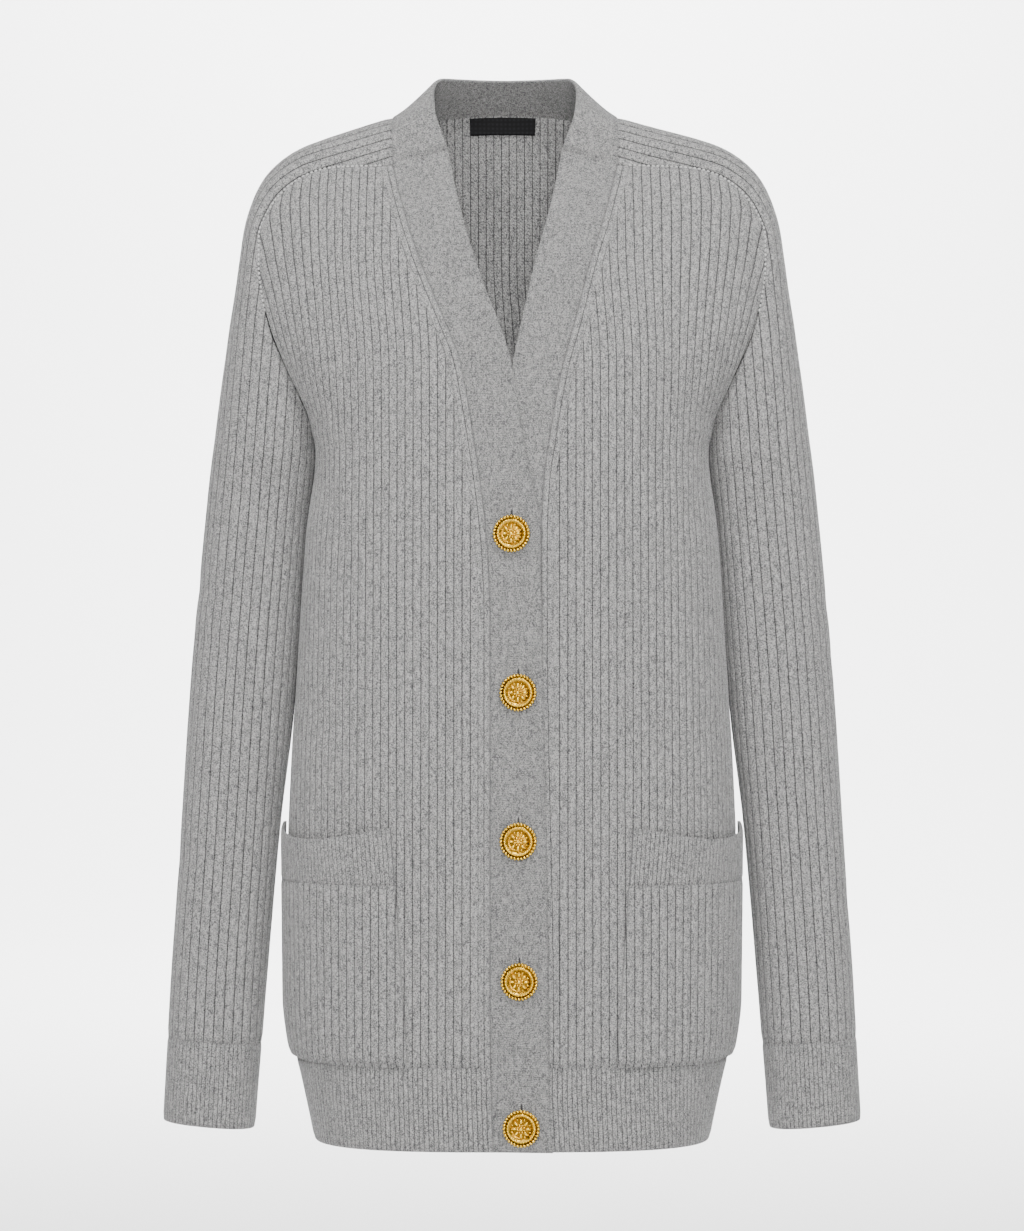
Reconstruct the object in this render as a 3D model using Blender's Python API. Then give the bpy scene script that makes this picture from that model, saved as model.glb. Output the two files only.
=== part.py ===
"""A button cardigan in rib knit, standing hollow in the shape it takes when it is worn.

Millimetres in the tables, metres in the model.  +X is the wearer's left, -Y is the front, +Z is
up.  The origin lies midway between the shoulders, level with the shoulder line beside the neck,
where the wearer carries the garment.  Every panel is a grid of points worked out from the tables
below, given a wall, and cut back a little at its seams.
"""

import math

import bmesh
import bpy
import numpy as np
from mathutils import Matrix, Vector
from mathutils.kdtree import KDTree

MM = 0.001

# Cloth and sewing.
WALL = 2.4
SEAM_GAP = 0.5
LAP = 3.0
LAP_STARTS, LAP_FULL = -110.0, -172.0
NECK_SHIFT = -5.0
NECK_SHIFT_LEVELS = (-185.0, -95.0)
NECK_SHIFT_REACH = (85.0, 150.0)
SEAM_REACH = 0.1
FOLDED = 0.4

# Levels up the garment.
HEM_BOTTOM = -730.0
HEM_SEAM = -672.0
ARMPIT = -240.0

# How many strips each panel is divided into.
HEM_ROWS = 2
BODY_ROWS = 10
SADDLE_ROWS = 12
CAP_ROWS = 8
SLEEVE_ROWS = 9
CUFF_ROWS = 2
HALF_RING = 6
NECK_STRIPS = 3
BAND_STRIPS = 3
BACK_COLUMN_SHARE = SADDLE_ROWS + NECK_STRIPS

# The body's level sections.  Above the armpit the half width runs on into the shoulder.
TRUNK_COLUMNS = ("height", "half_width", "front", "back", "front_square", "back_square")
TRUNK = (
    (-730.0, 141.5, 97.0, 90.0, 3.1, 3.0),
    (-706.0, 146.5, 97.0, 92.0, 3.1, 3.0),
    (-680.0, 152.5, 96.0, 93.0, 3.0, 2.9),
    (-660.0, 158.0, 95.5, 93.0, 3.0, 2.9),
    (-630.0, 161.0, 95.0, 92.0, 3.0, 2.8),
    (-527.0, 160.5, 91.0, 88.0, 2.9, 2.7),
    (-469.0, 158.4, 88.5, 86.0, 2.9, 2.6),
    (-380.0, 153.0, 86.0, 87.0, 2.8, 2.5),
    (-300.0, 147.6, 85.0, 91.0, 2.8, 2.5),
    (-240.0, 141.0, 83.0, 94.0, 2.8, 2.5),
    (-218.0, 146.0, 81.5, 95.0, 2.8, 2.4),
    (-172.0, 170.0, 76.0, 95.5, 2.8, 2.1),
    (-131.0, 187.0, 67.0, 93.5, 2.8, 1.95),
    (-103.0, 194.0, 60.0, 90.5, 2.8, 1.85),
    (-73.0, 194.0, 49.0, 86.0, 2.8, 1.75),
    (-37.0, 190.0, 28.5, 78.0, 2.7, 1.6),
    (-10.0, 186.0, 19.0, 71.0, 2.6, 1.5),
    (12.0, 182.0, 12.0, 66.0, 2.6, 1.5),
)

# The sleeve with its saddle, from the neck along the shoulder and down to the wrist.  Each
# station is a ring seen from the front: its front and back seams and its outer line, how far it
# stands before and behind its middle, how far back that middle lies, and how far the ring has
# closed (0 open at its widest, -1 a whole ring).
SLEEVE_COLUMNS = ("station", "front_x", "front_z", "outer_x", "outer_z", "back_x", "back_z",
                  "fore", "aft", "set_back", "closed")
SLEEVE = (
    (0, 80.0, -37.0, 81.5, 0.0, 78.0, -8.0, 26.0, 30.0, 0.0, 0.0),
    (1, 106.0, -37.5, 108.5, -8.0, 105.0, -17.0, 25.0, 32.0, 0.0, 0.0),
    (2, 131.5, -39.0, 133.6, -15.5, 131.0, -28.0, 24.5, 34.0, 0.0, 0.0),
    (3, 147.0, -44.0, 151.0, -22.0, 147.0, -37.0, 25.5, 35.5, 0.0, 0.0),
    (4, 159.0, -52.0, 166.0, -31.5, 159.0, -47.0, 27.0, 37.0, 0.0, 0.0),
    (5, 168.0, -61.5, 178.2, -44.5, 168.0, -58.5, 29.0, 38.5, 0.0, 0.0),
    (6, 175.0, -73.0, 186.5, -61.0, 175.0, -72.0, 31.0, 39.5, 0.0, 0.0),
    (7, 180.0, -88.0, 192.3, -81.0, 180.0, -88.0, 33.0, 40.5, 0.0, -0.02),
    (8, 180.0, -108.0, 195.6, -103.0, 180.0, -108.0, 34.5, 41.0, 0.0, -0.06),
    (9, 177.5, -131.0, 199.0, -127.0, 177.5, -131.0, 35.5, 41.0, 0.0, -0.14),
    (10, 171.5, -156.0, 203.0, -152.0, 171.5, -156.0, 36.0, 40.0, 0.0, -0.30),
    (11, 163.0, -177.0, 206.0, -174.0, 163.0, -177.0, 36.0, 39.0, 0.0, -0.50),
    (12, 152.8, -199.0, 209.0, -195.0, 152.8, -199.0, 35.5, 38.0, 0.0, -0.74),
    (13, 144.6, -220.0, 211.6, -215.0, 144.6, -220.0, 35.0, 37.0, 0.0, -0.93),
    (14, 141.6, -240.5, 214.0, -234.0, 141.6, -240.5, 34.0, 36.0, 0.0, -1.0),
    (15, 144.6, -262.0, 217.3, -256.0, 144.6, -262.0, 33.0, 35.0, 4.0, -1.0),
    (16, 148.4, -300.0, 221.6, -294.0, 148.4, -300.0, 32.0, 34.0, 8.0, -1.0),
    (17, 151.3, -340.0, 225.6, -334.0, 151.3, -340.0, 31.5, 33.0, 9.0, -1.0),
    (18, 153.9, -380.0, 229.4, -374.0, 153.9, -380.0, 31.0, 32.0, 9.0, -1.0),
    (19, 159.0, -440.0, 233.8, -435.0, 159.0, -440.0, 30.5, 31.5, 7.0, -1.0),
    (20, 166.4, -500.0, 237.3, -495.0, 166.4, -500.0, 30.0, 31.0, 4.0, -1.0),
    (21, 171.8, -560.0, 240.8, -555.0, 171.8, -560.0, 30.0, 30.5, 0.0, -1.0),
    (22, 176.4, -620.0, 244.6, -615.0, 176.4, -620.0, 29.5, 30.0, -5.0, -1.0),
    (23, 179.8, -664.0, 246.8, -659.0, 179.8, -664.0, 29.0, 29.5, -8.0, -1.0),
    (24, 184.3, -724.0, 249.8, -718.0, 184.3, -724.0, 28.5, 29.0, -12.0, -1.0),
)
RING_SQUARE = 2.35
SADDLE_END, ARMPIT_STATION, CUFF_STATION, WRIST_STATION = 6.0, 14.0, 23.0, 24.0

# The front edges, seam and free edge of each band, as x at a height.  The wearer's right band
# laps over the left.
FRONT_COLUMNS = ("height", "right_seam", "right_edge", "left_seam", "left_edge")
FRONT_EDGES = (
    (-730.0, -13.0, 28.5, 26.5, -11.5),
    (-684.0, -14.5, 25.5, 24.6, -12.8),
    (-625.0, -15.1, 25.2, 24.4, -13.6),
    (-356.0, -15.2, 20.6, 20.2, -14.3),
    (-316.0, -16.7, 19.8, 20.2, -14.6),
    (-290.0, -19.0, 18.8, 20.6, -15.0),
    (-264.0, -22.3, 13.5, 22.0, -12.5),
    (-240.0, -25.8, 8.4, 25.4, -8.4),
    (-208.0, -31.0, 3.8, 30.5, -3.8),
    (-180.0, -36.3, -0.7, 36.3, 0.7),
    (-152.0, -45.5, -8.0, 45.5, 8.0),
    (-128.0, -53.5, -15.3, 53.5, 15.3),
    (-103.0, -61.7, -22.3, 61.7, 22.3),
    (-80.0, -69.0, -29.3, 69.0, 29.3),
    (-58.0, -75.0, -36.0, 75.0, 36.0),
    (-37.0, -80.0, -41.0, 80.0, 41.0),
)
EDGE_LIFT_STARTS = -90.0
EDGE_LIFT = 13.0

# The free edge of the neckband, by its share of the way from the front of the saddle over the
# shoulder and round to the middle of the back.
NECK_EDGE_COLUMNS = ("share", "edge_x", "edge_y", "edge_z")
NECK_EDGE = (
    (0.0, 41.0, -28.0, -24.0),
    (0.5, 50.0, -19.0, 3.0),
    (1.0, 52.0, -2.0, 21.0),
    (1.5, 50.5, 11.0, 29.0),
    (2.0, 45.5, 21.5, 32.5),
    (2.5, 25.0, 37.5, 34.0),
    (3.0, 0.0, 42.0, 34.0),
)
BACK_NECK_DEPTH, BACK_NECK_RISE = 36.0, 20.0

# Pockets, buttons and label.
POCKET_WALL = 2.2
POCKET_GAP = 0.8
POCKET_GAPE = 3.6
GAPE_RISE, GAPE_FALL = 1.5, 0.8
GAPE_FROM, GAPE_SPAN = 0.08, 0.80
POCKET_BOTTOM = -669.0
POCKET_SEAM = -546.0
POCKET_INNER = (72.5, 84.0)
POCKET_MOUTH, MOUTH_SAG, SAG_SHAPE = -506.0, 9.0, 1.3
POCKET_STRIPS, MOUTH_ROWS = 8, 2
BUTTONS = ((-301.0, -0.2), (-411.5, 4.4), (-514.8, 4.5), (-611.6, 5.2), (-712.8, 6.6))
BUTTON_ACROSS = 25.6
BUTTON_OFF_CLOTH = 0.8
BUTTON_SIDES = 20
BUTTON_PROFILE = ((0.0, 4.8), (6.0, 4.4), (9.2, 3.3), (11.2, 4.1), (12.8, 2.4), (11.6, 0.7),
                  (6.0, 0.0), (0.0, 0.0))
LABEL_WIDTH, LABEL_TALL, LABEL_THICK = 50.0, 12.5, 0.6
LABEL_MIDDLE = -2.0
LABEL_BELOW_SEAM = 1.6
LABEL_GAP = 0.6

GREY_KNIT = (0.335, 0.331, 0.327, 1.0)
BRASS = (0.80, 0.50, 0.16, 1.0)
BLACK_TAPE = (0.012, 0.012, 0.012, 1.0)

RIGHT, LEFT = -1.0, 1.0
FRONT, BACK = -1.0, 1.0


def columns(names, rows):
    """A table as one array for each named column."""
    return dict(zip(names, np.array(rows, float).T))


TRUNK_TABLE = columns(TRUNK_COLUMNS, TRUNK)
SLEEVE_TABLE = columns(SLEEVE_COLUMNS, SLEEVE)
FRONT_TABLE = columns(FRONT_COLUMNS, FRONT_EDGES)
NECK_TABLE = columns(NECK_EDGE_COLUMNS, NECK_EDGE)


def read(table, name, at):
    """A column of a table read at any place, on a smooth curve that never overshoots a row."""
    known, values = next(iter(table.values())), table[name]
    step, rise = np.diff(known), np.diff(values)
    slope = rise / step
    inner = np.where(slope[:-1] * slope[1:] > 0,
                     2 * slope[:-1] * slope[1:] / (slope[:-1] + slope[1:] + 1e-12), 0.0)
    tangent = np.concatenate(([slope[0]], inner, [slope[-1]]))
    at = np.clip(np.asarray(at, float), known[0], known[-1])
    cell = np.clip(np.searchsorted(known, at) - 1, 0, len(step) - 1)
    t = (at - known[cell]) / step[cell]
    h = step[cell]
    return (values[cell] * (1 + 2 * t) * (1 - t) ** 2 + tangent[cell] * h * t * (1 - t) ** 2
            + values[cell + 1] * t * t * (3 - 2 * t) - tangent[cell + 1] * h * t * t * (1 - t))


def smoothstep(start, end, at):
    t = np.clip((np.asarray(at, float) - start) / (end - start), 0.0, 1.0)
    return t * t * (3 - 2 * t)


def trunk_y(x, z, face):
    """Where the body's surface lies, before or behind, at a place seen from the front."""
    name = "front" if face == FRONT else "back"
    depth = read(TRUNK_TABLE, name, z)
    square = read(TRUNK_TABLE, name + "_square", z)
    share = np.clip(np.abs(x) / read(TRUNK_TABLE, "half_width", z), 0.0, 1.0)
    return face * depth * (1 - share ** square) ** (1 / square)


def even_steps(points, count):
    """The same line in so many equal steps."""
    run = np.concatenate(([0.0], np.cumsum(np.linalg.norm(np.diff(points, axis=0), axis=1))))
    stops = np.linspace(0.0, run[-1], count + 1)
    return np.stack([np.interp(stops, run, points[:, axis]) for axis in range(3)], axis=1)


def section(z, inner_x, count, face):
    """Half a level section, from a place near the middle round to the side seam."""
    name = "front" if face == FRONT else "back"
    width, depth, square = (float(read(TRUNK_TABLE, column, z))
                            for column in ("half_width", name, name + "_square"))
    turn = np.linspace(math.asin((inner_x / width) ** (square / 2)), math.pi / 2, 160)
    x = width * np.sin(turn) ** (2 / square)
    y = face * depth * np.abs(np.cos(turn)) ** (2 / square)
    return even_steps(np.stack([x, y, np.full_like(x, z)], axis=1), count)


def half_ring(station, face, count):
    """Half a ring of the sleeve, from its seam to its outer line."""
    now = {name: float(read(SLEEVE_TABLE, name, station)) for name in SLEEVE_COLUMNS[1:]}
    side = "front" if face == FRONT else "back"
    seam = np.array([now[side + "_x"], now[side + "_z"]])
    outer = np.array([now["outer_x"], now["outer_z"]])
    closed = now["closed"]
    reach = np.linalg.norm(outer - seam) / (1 - closed)
    along = (outer - seam) / np.linalg.norm(outer - seam)
    start = -math.asin(min(1.0, abs(closed) ** (RING_SQUARE / 2)))
    turn = np.linspace(start, math.pi / 2, 120)
    out = reach * np.sign(turn) * np.abs(np.sin(turn)) ** (2 / RING_SQUARE)
    depth = now["fore"] if face == FRONT else now["aft"]
    y = now["set_back"] + face * depth * np.abs(np.cos(turn)) ** (2 / RING_SQUARE)
    middle = outer - reach * along
    return even_steps(np.stack([middle[0] + out * along[0], y, middle[1] + out * along[1]],
                               axis=1), count)


def ring(station):
    """A whole row of the sleeve: front seam, round the outside, back seam."""
    front = half_ring(station, FRONT, HALF_RING)
    back = half_ring(station, BACK, HALF_RING)
    return np.concatenate([front, back[-2::-1]])


def seam_line(stations, face):
    """The armhole or saddle seam at these stations."""
    return np.array([half_ring(station, face, 1)[0] for station in stations])


def patch(bottom, top, inner, outer, face):
    """Fill the upper part of a panel between its four edges, on the body's surface.

    Every edge is a line of points.  The places are blended as seen from the front, and the depth
    is the body's own, drawn to the top and outer edges as it nears them.
    """
    rows, count = len(inner), len(bottom)
    v = np.linspace(0.0, 1.0, rows)[:, None, None]
    s = np.linspace(0.0, 1.0, count)[None, :, None]
    flat = ((1 - v) * bottom[None] + v * top[None] + (1 - s) * inner[:, None] + s * outer[:, None]
            - (1 - v) * (1 - s) * bottom[0] - (1 - v) * s * bottom[-1]
            - v * (1 - s) * top[0] - v * s * top[-1])
    x, z = flat[..., 0], flat[..., 2]
    y = trunk_y(x, z, face)
    top_miss = top[:, 1] - trunk_y(top[:, 0], top[:, 2], face)
    outer_miss = outer[:, 1] - trunk_y(outer[:, 0], outer[:, 2], face)
    up = v[..., 0] ** 3
    across = s[..., 0] ** 4
    y = y + up * top_miss[None] + across * outer_miss[:, None] - up * across * outer_miss[-1]
    points = np.stack([x, y, z], axis=2)
    points[0] = bottom
    return points


def front_panel(side):
    """One front, hem seam to saddle, as rows of points from band seam to side seam."""
    name = "right_seam" if side == RIGHT else "left_seam"
    levels = np.linspace(HEM_SEAM, ARMPIT, BODY_ROWS + 1)
    lower = [section(z, abs(float(read(FRONT_TABLE, name, z))), SADDLE_ROWS, FRONT)
             for z in levels]
    top = seam_line(np.linspace(0.0, SADDLE_END, SADDLE_ROWS + 1), FRONT)
    outer = seam_line(np.linspace(ARMPIT_STATION, SADDLE_END, CAP_ROWS + 1), FRONT)
    z = np.linspace(ARMPIT, top[0, 2], CAP_ROWS + 1)
    x = np.abs(read(FRONT_TABLE, name, z))
    inner = np.stack([x, trunk_y(x, z, FRONT), z], axis=1)
    upper = patch(lower[-1], top, inner, outer, FRONT)
    return np.concatenate([np.array(lower[:-1]), upper])


def back_neck(share):
    """The back neck seam, from its middle (0) to the back corner of the saddle (1)."""
    corner = seam_line([0.0], BACK)[0]
    turn = np.asarray(share)[:, None] * math.pi / 2
    rise = np.array([0.0, BACK_NECK_DEPTH, BACK_NECK_RISE])
    return corner * np.array([0.0, 1.0, 1.0]) + np.sin(turn) * corner * [1, 0, 0] \
        + np.cos(turn) * rise


def half_back():
    """Half the back, as rows of points from the middle to the side seam."""
    levels = np.linspace(HEM_SEAM, ARMPIT, BODY_ROWS + 1)
    lower = [section(z, 0.0, BACK_COLUMN_SHARE, BACK) for z in levels]
    neck = back_neck(np.linspace(0.0, 1.0, NECK_STRIPS + 1))
    shoulder = seam_line(np.linspace(0.0, SADDLE_END, SADDLE_ROWS + 1), BACK)
    top = np.concatenate([neck[:-1], shoulder])
    outer = seam_line(np.linspace(ARMPIT_STATION, SADDLE_END, CAP_ROWS + 1), BACK)
    z = np.linspace(ARMPIT, top[0, 2], CAP_ROWS + 1)
    inner = np.stack([0 * z, trunk_y(0 * z, z, BACK), z], axis=1)
    upper = patch(lower[-1], top, inner, outer, BACK)
    return np.concatenate([np.array(lower[:-1]), upper])


def whole(half):
    """A panel that is the same both sides of the middle, from the wearer's right to left."""
    return np.concatenate([half[:, :0:-1] * [RIGHT, 1, 1], half], axis=1)


def hem(side):
    """The hem band below one front, or below the back when side is 0."""
    levels = np.linspace(HEM_BOTTOM, HEM_SEAM, HEM_ROWS + 1)
    if side:
        name = "right_seam" if side == RIGHT else "left_seam"
        return np.array([section(z, abs(float(read(FRONT_TABLE, name, z))), SADDLE_ROWS, FRONT)
                         for z in levels])
    return whole(np.array([section(z, 0.0, BACK_COLUMN_SHARE, BACK) for z in levels]))


def front_band(side, panel, hem_panel):
    """A front band, hem to shoulder, as rows of points from its seam to its free edge."""
    seam = np.concatenate([hem_panel[:-1, 0], panel[:, 0]])
    name = "right" if side == RIGHT else "left"
    height = seam[:, 2]
    edge_x = side * read(FRONT_TABLE, name + "_edge", height)
    edge_z = height + EDGE_LIFT * smoothstep(EDGE_LIFT_STARTS, -37.0, height)
    edge = np.stack([edge_x, trunk_y(edge_x, edge_z, FRONT), edge_z], axis=1)
    saddle_seam = half_ring(0.0, FRONT, HALF_RING)[1:]
    share = np.linspace(0.0, 1.0, HALF_RING + 1)[1:]
    seam = np.concatenate([seam, saddle_seam])
    edge = np.concatenate([edge, neck_edge(share)])
    w = np.linspace(0.0, 1.0, BAND_STRIPS + 1)[None, :, None]
    points = seam[:, None] * (1 - w) + edge[:, None] * w
    x, z = side * points[..., 0], points[..., 2]
    right_seam = read(FRONT_TABLE, "right_seam", z)
    left_seam = read(FRONT_TABLE, "left_seam", z)
    over = smoothstep(0.0, 1.0, (x - right_seam) / (left_seam - right_seam))
    fade = smoothstep(LAP_STARTS, LAP_FULL, z)
    lift = LAP * fade * (over if side == RIGHT else over - 1)
    points[..., 1] -= lift
    return points


def neck_edge(share):
    """The neckband's free edge at these shares of the way round from the front."""
    return np.stack([read(NECK_TABLE, name, share) for name in NECK_EDGE_COLUMNS[1:]], axis=1)


def neckband():
    """The back neckband, saddle top to saddle top, as rows from its seam to its free edge."""
    saddle_seam = half_ring(0.0, BACK, HALF_RING)[::-1]
    neck = back_neck(np.linspace(1.0, 0.0, NECK_STRIPS + 1))
    seam = np.concatenate([saddle_seam, neck[1:]])
    share = np.concatenate([np.linspace(1.0, 2.0, HALF_RING + 1),
                            np.linspace(2.0, 3.0, NECK_STRIPS + 1)[1:]])
    edge = neck_edge(share)
    w = np.linspace(0.0, 1.0, BAND_STRIPS + 1)[None, :, None]
    half = seam[:, None] * (1 - w) + edge[:, None] * w
    return np.concatenate([half, half[-2::-1] * [RIGHT, 1, 1]])


def sleeve_rows():
    """The sleeve's stations: close together over the shoulder, wider apart down the arm."""
    return np.concatenate([np.linspace(0.0, SADDLE_END, SADDLE_ROWS + 1),
                           np.linspace(SADDLE_END, ARMPIT_STATION, CAP_ROWS + 1)[1:],
                           np.linspace(ARMPIT_STATION, CUFF_STATION, SLEEVE_ROWS + 1)[1:]])


def on_grid(grid, row, column):
    """A place on a panel's own flat facets, by its row and column number."""
    row = np.clip(row, 0.0, grid.shape[0] - 1.0)
    column = np.clip(column, 0.0, grid.shape[1] - 1.0)
    j = np.minimum(row.astype(int), grid.shape[0] - 2)
    i = np.minimum(column.astype(int), grid.shape[1] - 2)
    v, s = (row - j)[..., None], (column - i)[..., None]
    return ((1 - v) * ((1 - s) * grid[j, i] + s * grid[j, i + 1])
            + v * ((1 - s) * grid[j + 1, i] + s * grid[j + 1, i + 1]))


def inner_column(grid, row, x):
    """The column number, whole or part, where a row of a panel is this far from the middle."""
    count = grid.shape[1]
    across = on_grid(grid, np.full(count, row), np.arange(count, dtype=float))[:, 0]
    return np.interp(x, across, np.arange(count))


def pocket(front):
    """The patch and its ribbed top as one run of rows, moved out from the front's own points."""
    bottom = (POCKET_BOTTOM - HEM_SEAM) / (ARMPIT - HEM_SEAM) * BODY_ROWS
    seam = (POCKET_SEAM - HEM_SEAM) / (ARMPIT - HEM_SEAM) * BODY_ROWS
    low = np.concatenate([[bottom], np.arange(math.ceil(bottom), math.ceil(seam)), [seam]])
    share = np.linspace(0.0, 1.0, POCKET_STRIPS + 1)
    mouth_z = POCKET_MOUTH - MOUTH_SAG * np.sin(math.pi * share) ** SAG_SHAPE
    mouth = (mouth_z - HEM_SEAM) / (ARMPIT - HEM_SEAM) * BODY_ROWS
    high = seam + np.linspace(0.0, 1.0, MOUTH_ROWS + 1)[1:, None] * (mouth - seam)
    rows = np.concatenate([low[:, None] + 0 * share, high])
    up = np.clip((rows - bottom) / (mouth.max() - bottom), 0.0, 1.0)
    first = np.array([[inner_column(front, row, x)] for row, x in
                      zip(rows[:, 0], np.interp(up[:, 0], (0.0, 1.0), POCKET_INNER))])
    whole_columns = SADDLE_ROWS - POCKET_STRIPS + 1.0 + np.arange(POCKET_STRIPS)
    columns_at = np.concatenate([first, 0 * up[:, 1:] + whole_columns], axis=1)
    under = on_grid(front, rows, columns_at)
    out = outward(under)
    bow = np.sin(math.pi * (GAPE_FROM + GAPE_SPAN * share)) ** GAPE_FALL
    gape = POCKET_GAPE * up ** GAPE_RISE * bow
    away = POCKET_GAP + POCKET_WALL + gape
    return under + out * away[..., None], out, len(low)


def label(back, out):
    """The label's face, laid on the inside of the back just under the neck seam."""
    middle_column = BACK_COLUMN_SHARE
    top_row = back.shape[0] - 1.0
    inner = back - out * WALL
    near = inner[-1, middle_column + 1, 0] - inner[-1, middle_column, 0]
    drop = inner[-1, middle_column, 2] - inner[-2, middle_column, 2]
    x = np.array([-LABEL_WIDTH / 2 + LABEL_MIDDLE, 0.0, LABEL_WIDTH / 2 + LABEL_MIDDLE])
    rows = top_row - (LABEL_BELOW_SEAM + np.array([LABEL_TALL, 0.0])) / drop
    column = middle_column + x / near
    row, column = np.meshgrid(rows, column, indexing="ij")
    face = on_grid(inner, row, column)
    away = on_grid(out, row, column)
    return face - away * (LABEL_GAP + LABEL_THICK), -away


def outward(points):
    """The way out of the cloth, for a grid whose columns run to the left and rows go up.

    A corner takes it from the next point in, because two edges may meet there in one line.
    """
    normal = np.cross(np.gradient(points, axis=1), np.gradient(points, axis=0))
    for (j, i), inside in (((0, 0), (1, 1)), ((0, -1), (1, -2)),
                           ((-1, 0), (-2, 1)), ((-1, -1), (-2, -2))):
        normal[j, i] = normal[inside]
    return normal / np.maximum(np.linalg.norm(normal, axis=2, keepdims=True), 1e-9)


def settle(points):
    """The neck sits a little to the wearer's right, so everything near it moves with it."""
    moved = points.copy()
    x, z = points[..., 0], points[..., 2]
    moved[..., 0] += NECK_SHIFT * smoothstep(*NECK_SHIFT_LEVELS, z) \
        * (1 - smoothstep(*NECK_SHIFT_REACH, np.abs(x)))
    return moved


class Panel:
    """A piece of cloth: rows of points on its outside, the way out at each, and its wall.

    way is +1 where rows crossed with columns point out of the cloth, and -1 where they point in.
    A tube is open down to the row shut_from, and knitted shut below it.
    """

    def __init__(self, name, points, way, wall=WALL, out=None, shut_from=None):
        self.name = name
        self.points = points
        self.way = way
        self.wall = wall
        self.out = outward(points) * way if out is None else out
        self.shut_from = points.shape[0] if shut_from is None else shut_from

    def border(self):
        """The row and column of every point round the edge."""
        rows, count = self.points.shape[:2]
        return [(j, i) for j in range(rows) for i in range(count)
                if j in (0, rows - 1) or i in (0, count - 1)]

    def cut_back(self):
        """Draw the border in by half the seam gap, but not where a tube is knitted shut."""
        grid = self.points
        rows, count = grid.shape[:2]
        moved = grid.copy()
        for j, i in self.border():
            sewn = j < self.shut_from
            inside = (min(max(j, 1), rows - 2), min(max(i, 1), count - 2) if sewn else i)
            if inside == (j, i):
                continue
            step = grid[inside] - grid[j, i]
            step /= np.linalg.norm(step)
            if inside[0] != j and inside[1] != i:
                slant = math.sqrt(0.5)
            elif inside[0] != j:
                slant = across_seam(step, grid[j, min(i + 1, count - 1)] - grid[j, max(i - 1, 0)])
            else:
                slant = across_seam(step, grid[min(j + 1, rows - 1), i] - grid[max(j - 1, 0), i])
            moved[j, i] += step * SEAM_GAP / 2 / slant
        self.points = moved


def across_seam(step, seam):
    """How much of a step goes square across a seam, and no less than a third of it."""
    along = seam / np.linalg.norm(seam)
    return max(np.linalg.norm(step - step.dot(along) * along), 1 / 3)


def share_seams(panels):
    """Panels that meet at a seam get the same way out there, so their walls stay side by side."""
    ends = [(panel, place) for panel in panels for place in panel.border()]
    tree = KDTree(len(ends))
    for number, (panel, place) in enumerate(ends):
        tree.insert(panel.points[place], number)
    tree.balance()
    shared = []
    for panel, place in ends:
        meeting = [ends[number] for point, number, far in
                   tree.find_range(panel.points[place], SEAM_REACH)]
        total = sum(other.out[spot] for other, spot in meeting) / len(meeting)
        if np.linalg.norm(total) < FOLDED:
            total = np.array([0.0, 0.0, -1.0])
        shared.append(total / np.linalg.norm(total))
    for (panel, place), way_out in zip(ends, shared):
        panel.out[place] = way_out


def material(name, colour, metallic, roughness):
    made = bpy.data.materials.new(name)
    made.use_nodes = True
    shader = made.node_tree.nodes["Principled BSDF"]
    shader.inputs["Base Color"].default_value = colour
    shader.inputs["Metallic"].default_value = metallic
    shader.inputs["Roughness"].default_value = roughness
    return made


def finish(name, solid, colour, metallic=0.0, roughness=0.9):
    """Turn a closed bmesh into a named object with its own material."""
    mesh = bpy.data.meshes.new(name)
    solid.to_mesh(mesh)
    solid.free()
    made = bpy.data.objects.new(name, mesh)
    made.data.materials.append(material(name + "_surface", colour, metallic, roughness))
    GARMENT.objects.link(made)
    mesh.shade_smooth()
    mesh.set_sharp_from_angle(angle=math.radians(50))
    return made


def sew(panel, colour=GREY_KNIT, roughness=0.9):
    """Lay a grid over the panel's points, then draw it inwards into a closed wall."""
    rows, count = panel.points.shape[:2]
    cloth = bmesh.new()
    number = cloth.verts.layers.int.new("number")
    made = bmesh.ops.create_grid(cloth, x_segments=count - 1, y_segments=rows - 1, size=1.0)
    order = sorted(made["verts"], key=lambda vert: (round(vert.co.y, 4), round(vert.co.x, 4)))
    for position, vert in enumerate(order):
        vert[number] = position
        vert.co = panel.points[divmod(position, count)] * MM
    if panel.way < 0:
        bmesh.ops.reverse_faces(cloth, faces=cloth.faces[:])
    bmesh.ops.remove_doubles(cloth, verts=cloth.verts[:], dist=0.02 * MM)
    grown = bmesh.ops.extrude_face_region(cloth, geom=cloth.faces[:], use_keep_orig=True)
    for item in grown["geom"]:
        if isinstance(item, bmesh.types.BMVert):
            inward = -panel.out[divmod(item[number], count)] * panel.wall * MM
            item.co = item.co + Vector(inward)
    bmesh.ops.recalc_face_normals(cloth, faces=cloth.faces[:])
    return finish(panel.name, cloth, colour, roughness=roughness)


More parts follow.
